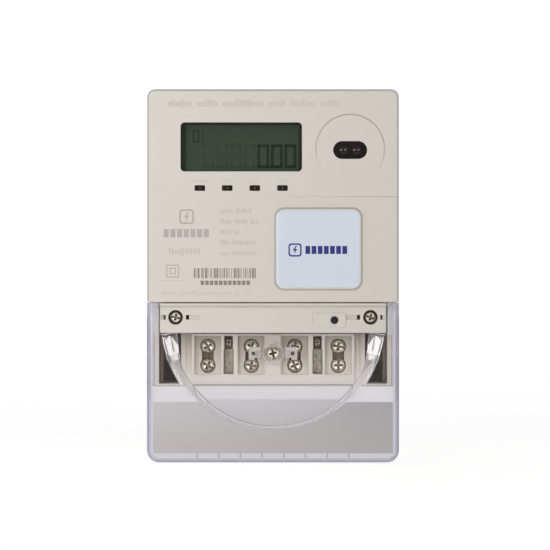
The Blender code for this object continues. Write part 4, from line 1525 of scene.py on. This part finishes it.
def floor():
    """A wide pale floor just under the meter."""
    level = CLEAR_Z[0] - 0.4
    sides, radius = 96, 4000.0
    bm = bmesh.new()
    turn = 2 * math.pi / sides
    rim = [
        bm.verts.new(point(radius * math.cos(i * turn), radius * math.sin(i * turn), level))
        for i in range(sides)
    ]
    bm.faces.new(rim)
    made = mesh_object("floor", bm)
    material, tree, coordinates = new_material("floor_white")
    near = node(
        tree,
        "BsdfPrincipled",
        {
            "Base Color": (0.9, 0.9, 0.9, 1.0),
            "Roughness": 0.9,
            "Specular IOR Level": 0.1,
            "Emission Color": (1.0, 1.0, 1.0, 1.0),
            "Emission Strength": blended(tree, node(tree, "LightPath").outputs["Is Camera Ray"], 0.3, 0.6),
        },
    )
    reflected = ramp(tree, node(tree, "LightPath").outputs["Glossy Depth"], (0.4, 0.6))
    far = node(tree, "Emission", {"Color": (1.0, 1.0, 1.0, 1.0), "Strength": blended(tree, reflected, 1.0, 0.3)})
    distance = node(tree, "VectorMath", {0: coordinates}, operation="LENGTH").outputs["Value"]
    mixed = node(tree, "MixShader", {0: ramp(tree, distance, (0.25, 0.9)), 1: near.outputs[0], 2: far.outputs[0]})
    viewer = node(tree, "SeparateXYZ", {0: node(tree, "NewGeometry").outputs["Incoming"]}).outputs[2]
    below = node(tree, "BsdfTransparent")
    from_above = ramp(tree, viewer, (-0.0001, 0.0001))
    shown = node(tree, "MixShader", {0: from_above, 1: below.outputs[0], 2: mixed.outputs[0]})
    output(tree, shown.outputs[0])
    made.data.materials.append(material)


def surroundings():
    """White to the camera and through clear plastic, and a dimmer studio to everything else.

    The studio is darker straight in front, where the camera stands, so that it hardly shows in
    the display, and it gives softer light from above and from the right.
    """
    world = bpy.data.worlds.new("studio")
    bpy.context.scene.world = world
    world.use_nodes = True
    tree = world.node_tree
    tree.nodes.clear()
    direction = node(tree, "TexCoord").outputs["Generated"]
    towards = node(tree, "VectorMath", {0: direction, 1: (-0.5, -0.5, -0.5)}, operation="DOT_PRODUCT")
    ahead = node(tree, "VectorMath", {0: direction, 1: (0.0, -1.0, 0.0)}, operation="DOT_PRODUCT")
    soft = maths(tree, "MULTIPLY_ADD", towards.outputs["Value"], 0.38)
    soft.node.inputs[2].default_value = 0.46
    across = maths(tree, "ABSOLUTE", node(tree, "SeparateXYZ", {0: direction}).outputs[0])
    dim_ahead = product(tree, ramp(tree, ahead.outputs["Value"], (0.7, 0.97)), 0.35)
    dim_middle = product(tree, ramp(tree, across, (0.5, 0.15)), 0.4)
    mirror = maths(tree, "SUBTRACT", maths(tree, "SUBTRACT", 1.0, dim_ahead), dim_middle)
    path = node(tree, "LightPath").outputs
    reflected = ramp(tree, path["Glossy Depth"], (0.4, 0.6))
    see_through = largest(tree, path["Is Camera Ray"], path["Is Transmission Ray"])
    see_through = product(tree, see_through, maths(tree, "SUBTRACT", 1.0, reflected))
    level = node(tree, "Mix", {0: reflected, 2: soft, 3: mirror}, data_type="FLOAT").outputs[0]
    level = node(tree, "Mix", {0: see_through, 2: level, 3: 1.0}, data_type="FLOAT").outputs[0]
    lit = node(tree, "Background", {"Color": (1.0, 1.0, 1.0, 1.0), "Strength": level})
    node(tree, "OutputWorld", {"Surface": lit.outputs[0]})


def lamp(name, position, size, power):
    data = bpy.data.lights.new(name, "AREA")
    data.size = size
    data.energy = power
    made = bpy.data.objects.new(name, data)
    bpy.context.scene.collection.objects.link(made)
    made.location = position
    target = Vector((0.0, -0.03, -0.02))
    made.rotation_euler = (target - made.location).to_track_quat("-Z", "Y").to_euler()
    made.visible_camera = False


def studio():
    floor()
    surroundings()
    lamp("key", (-0.9, -1.7, 0.0), 1.0, 14.5)
    lamp("fill", (0.9, -1.8, 0.45), 1.0, 5.0)
    lamp("back", (-0.5, 1.7, 1.0), 1.4, 3.0)
    data = bpy.data.cameras.new("camera")
    data.sensor_width = 36.0
    data.lens = 150.5
    camera = bpy.data.objects.new("camera", data)
    bpy.context.scene.collection.objects.link(camera)
    camera.location = (0.001, -1.21, -0.019)
    camera.rotation_euler = (math.pi / 2, 0.0, 0.0)
    bpy.context.scene.camera = camera
    bpy.context.scene.view_settings.view_transform = "Standard"


def build():
    dress_carried_over()
    wall_case()
    face_moulding()
    seal_shadow_rings()
    hanger_tab()
    screws()
    display()
    indicators()
    optical_window()
    card_pad()
    key_and_plate()
    terminal_moulding()
    dark_tray()
    clear_cover()
    cover_lugs()
    printing()
    studio()


build()
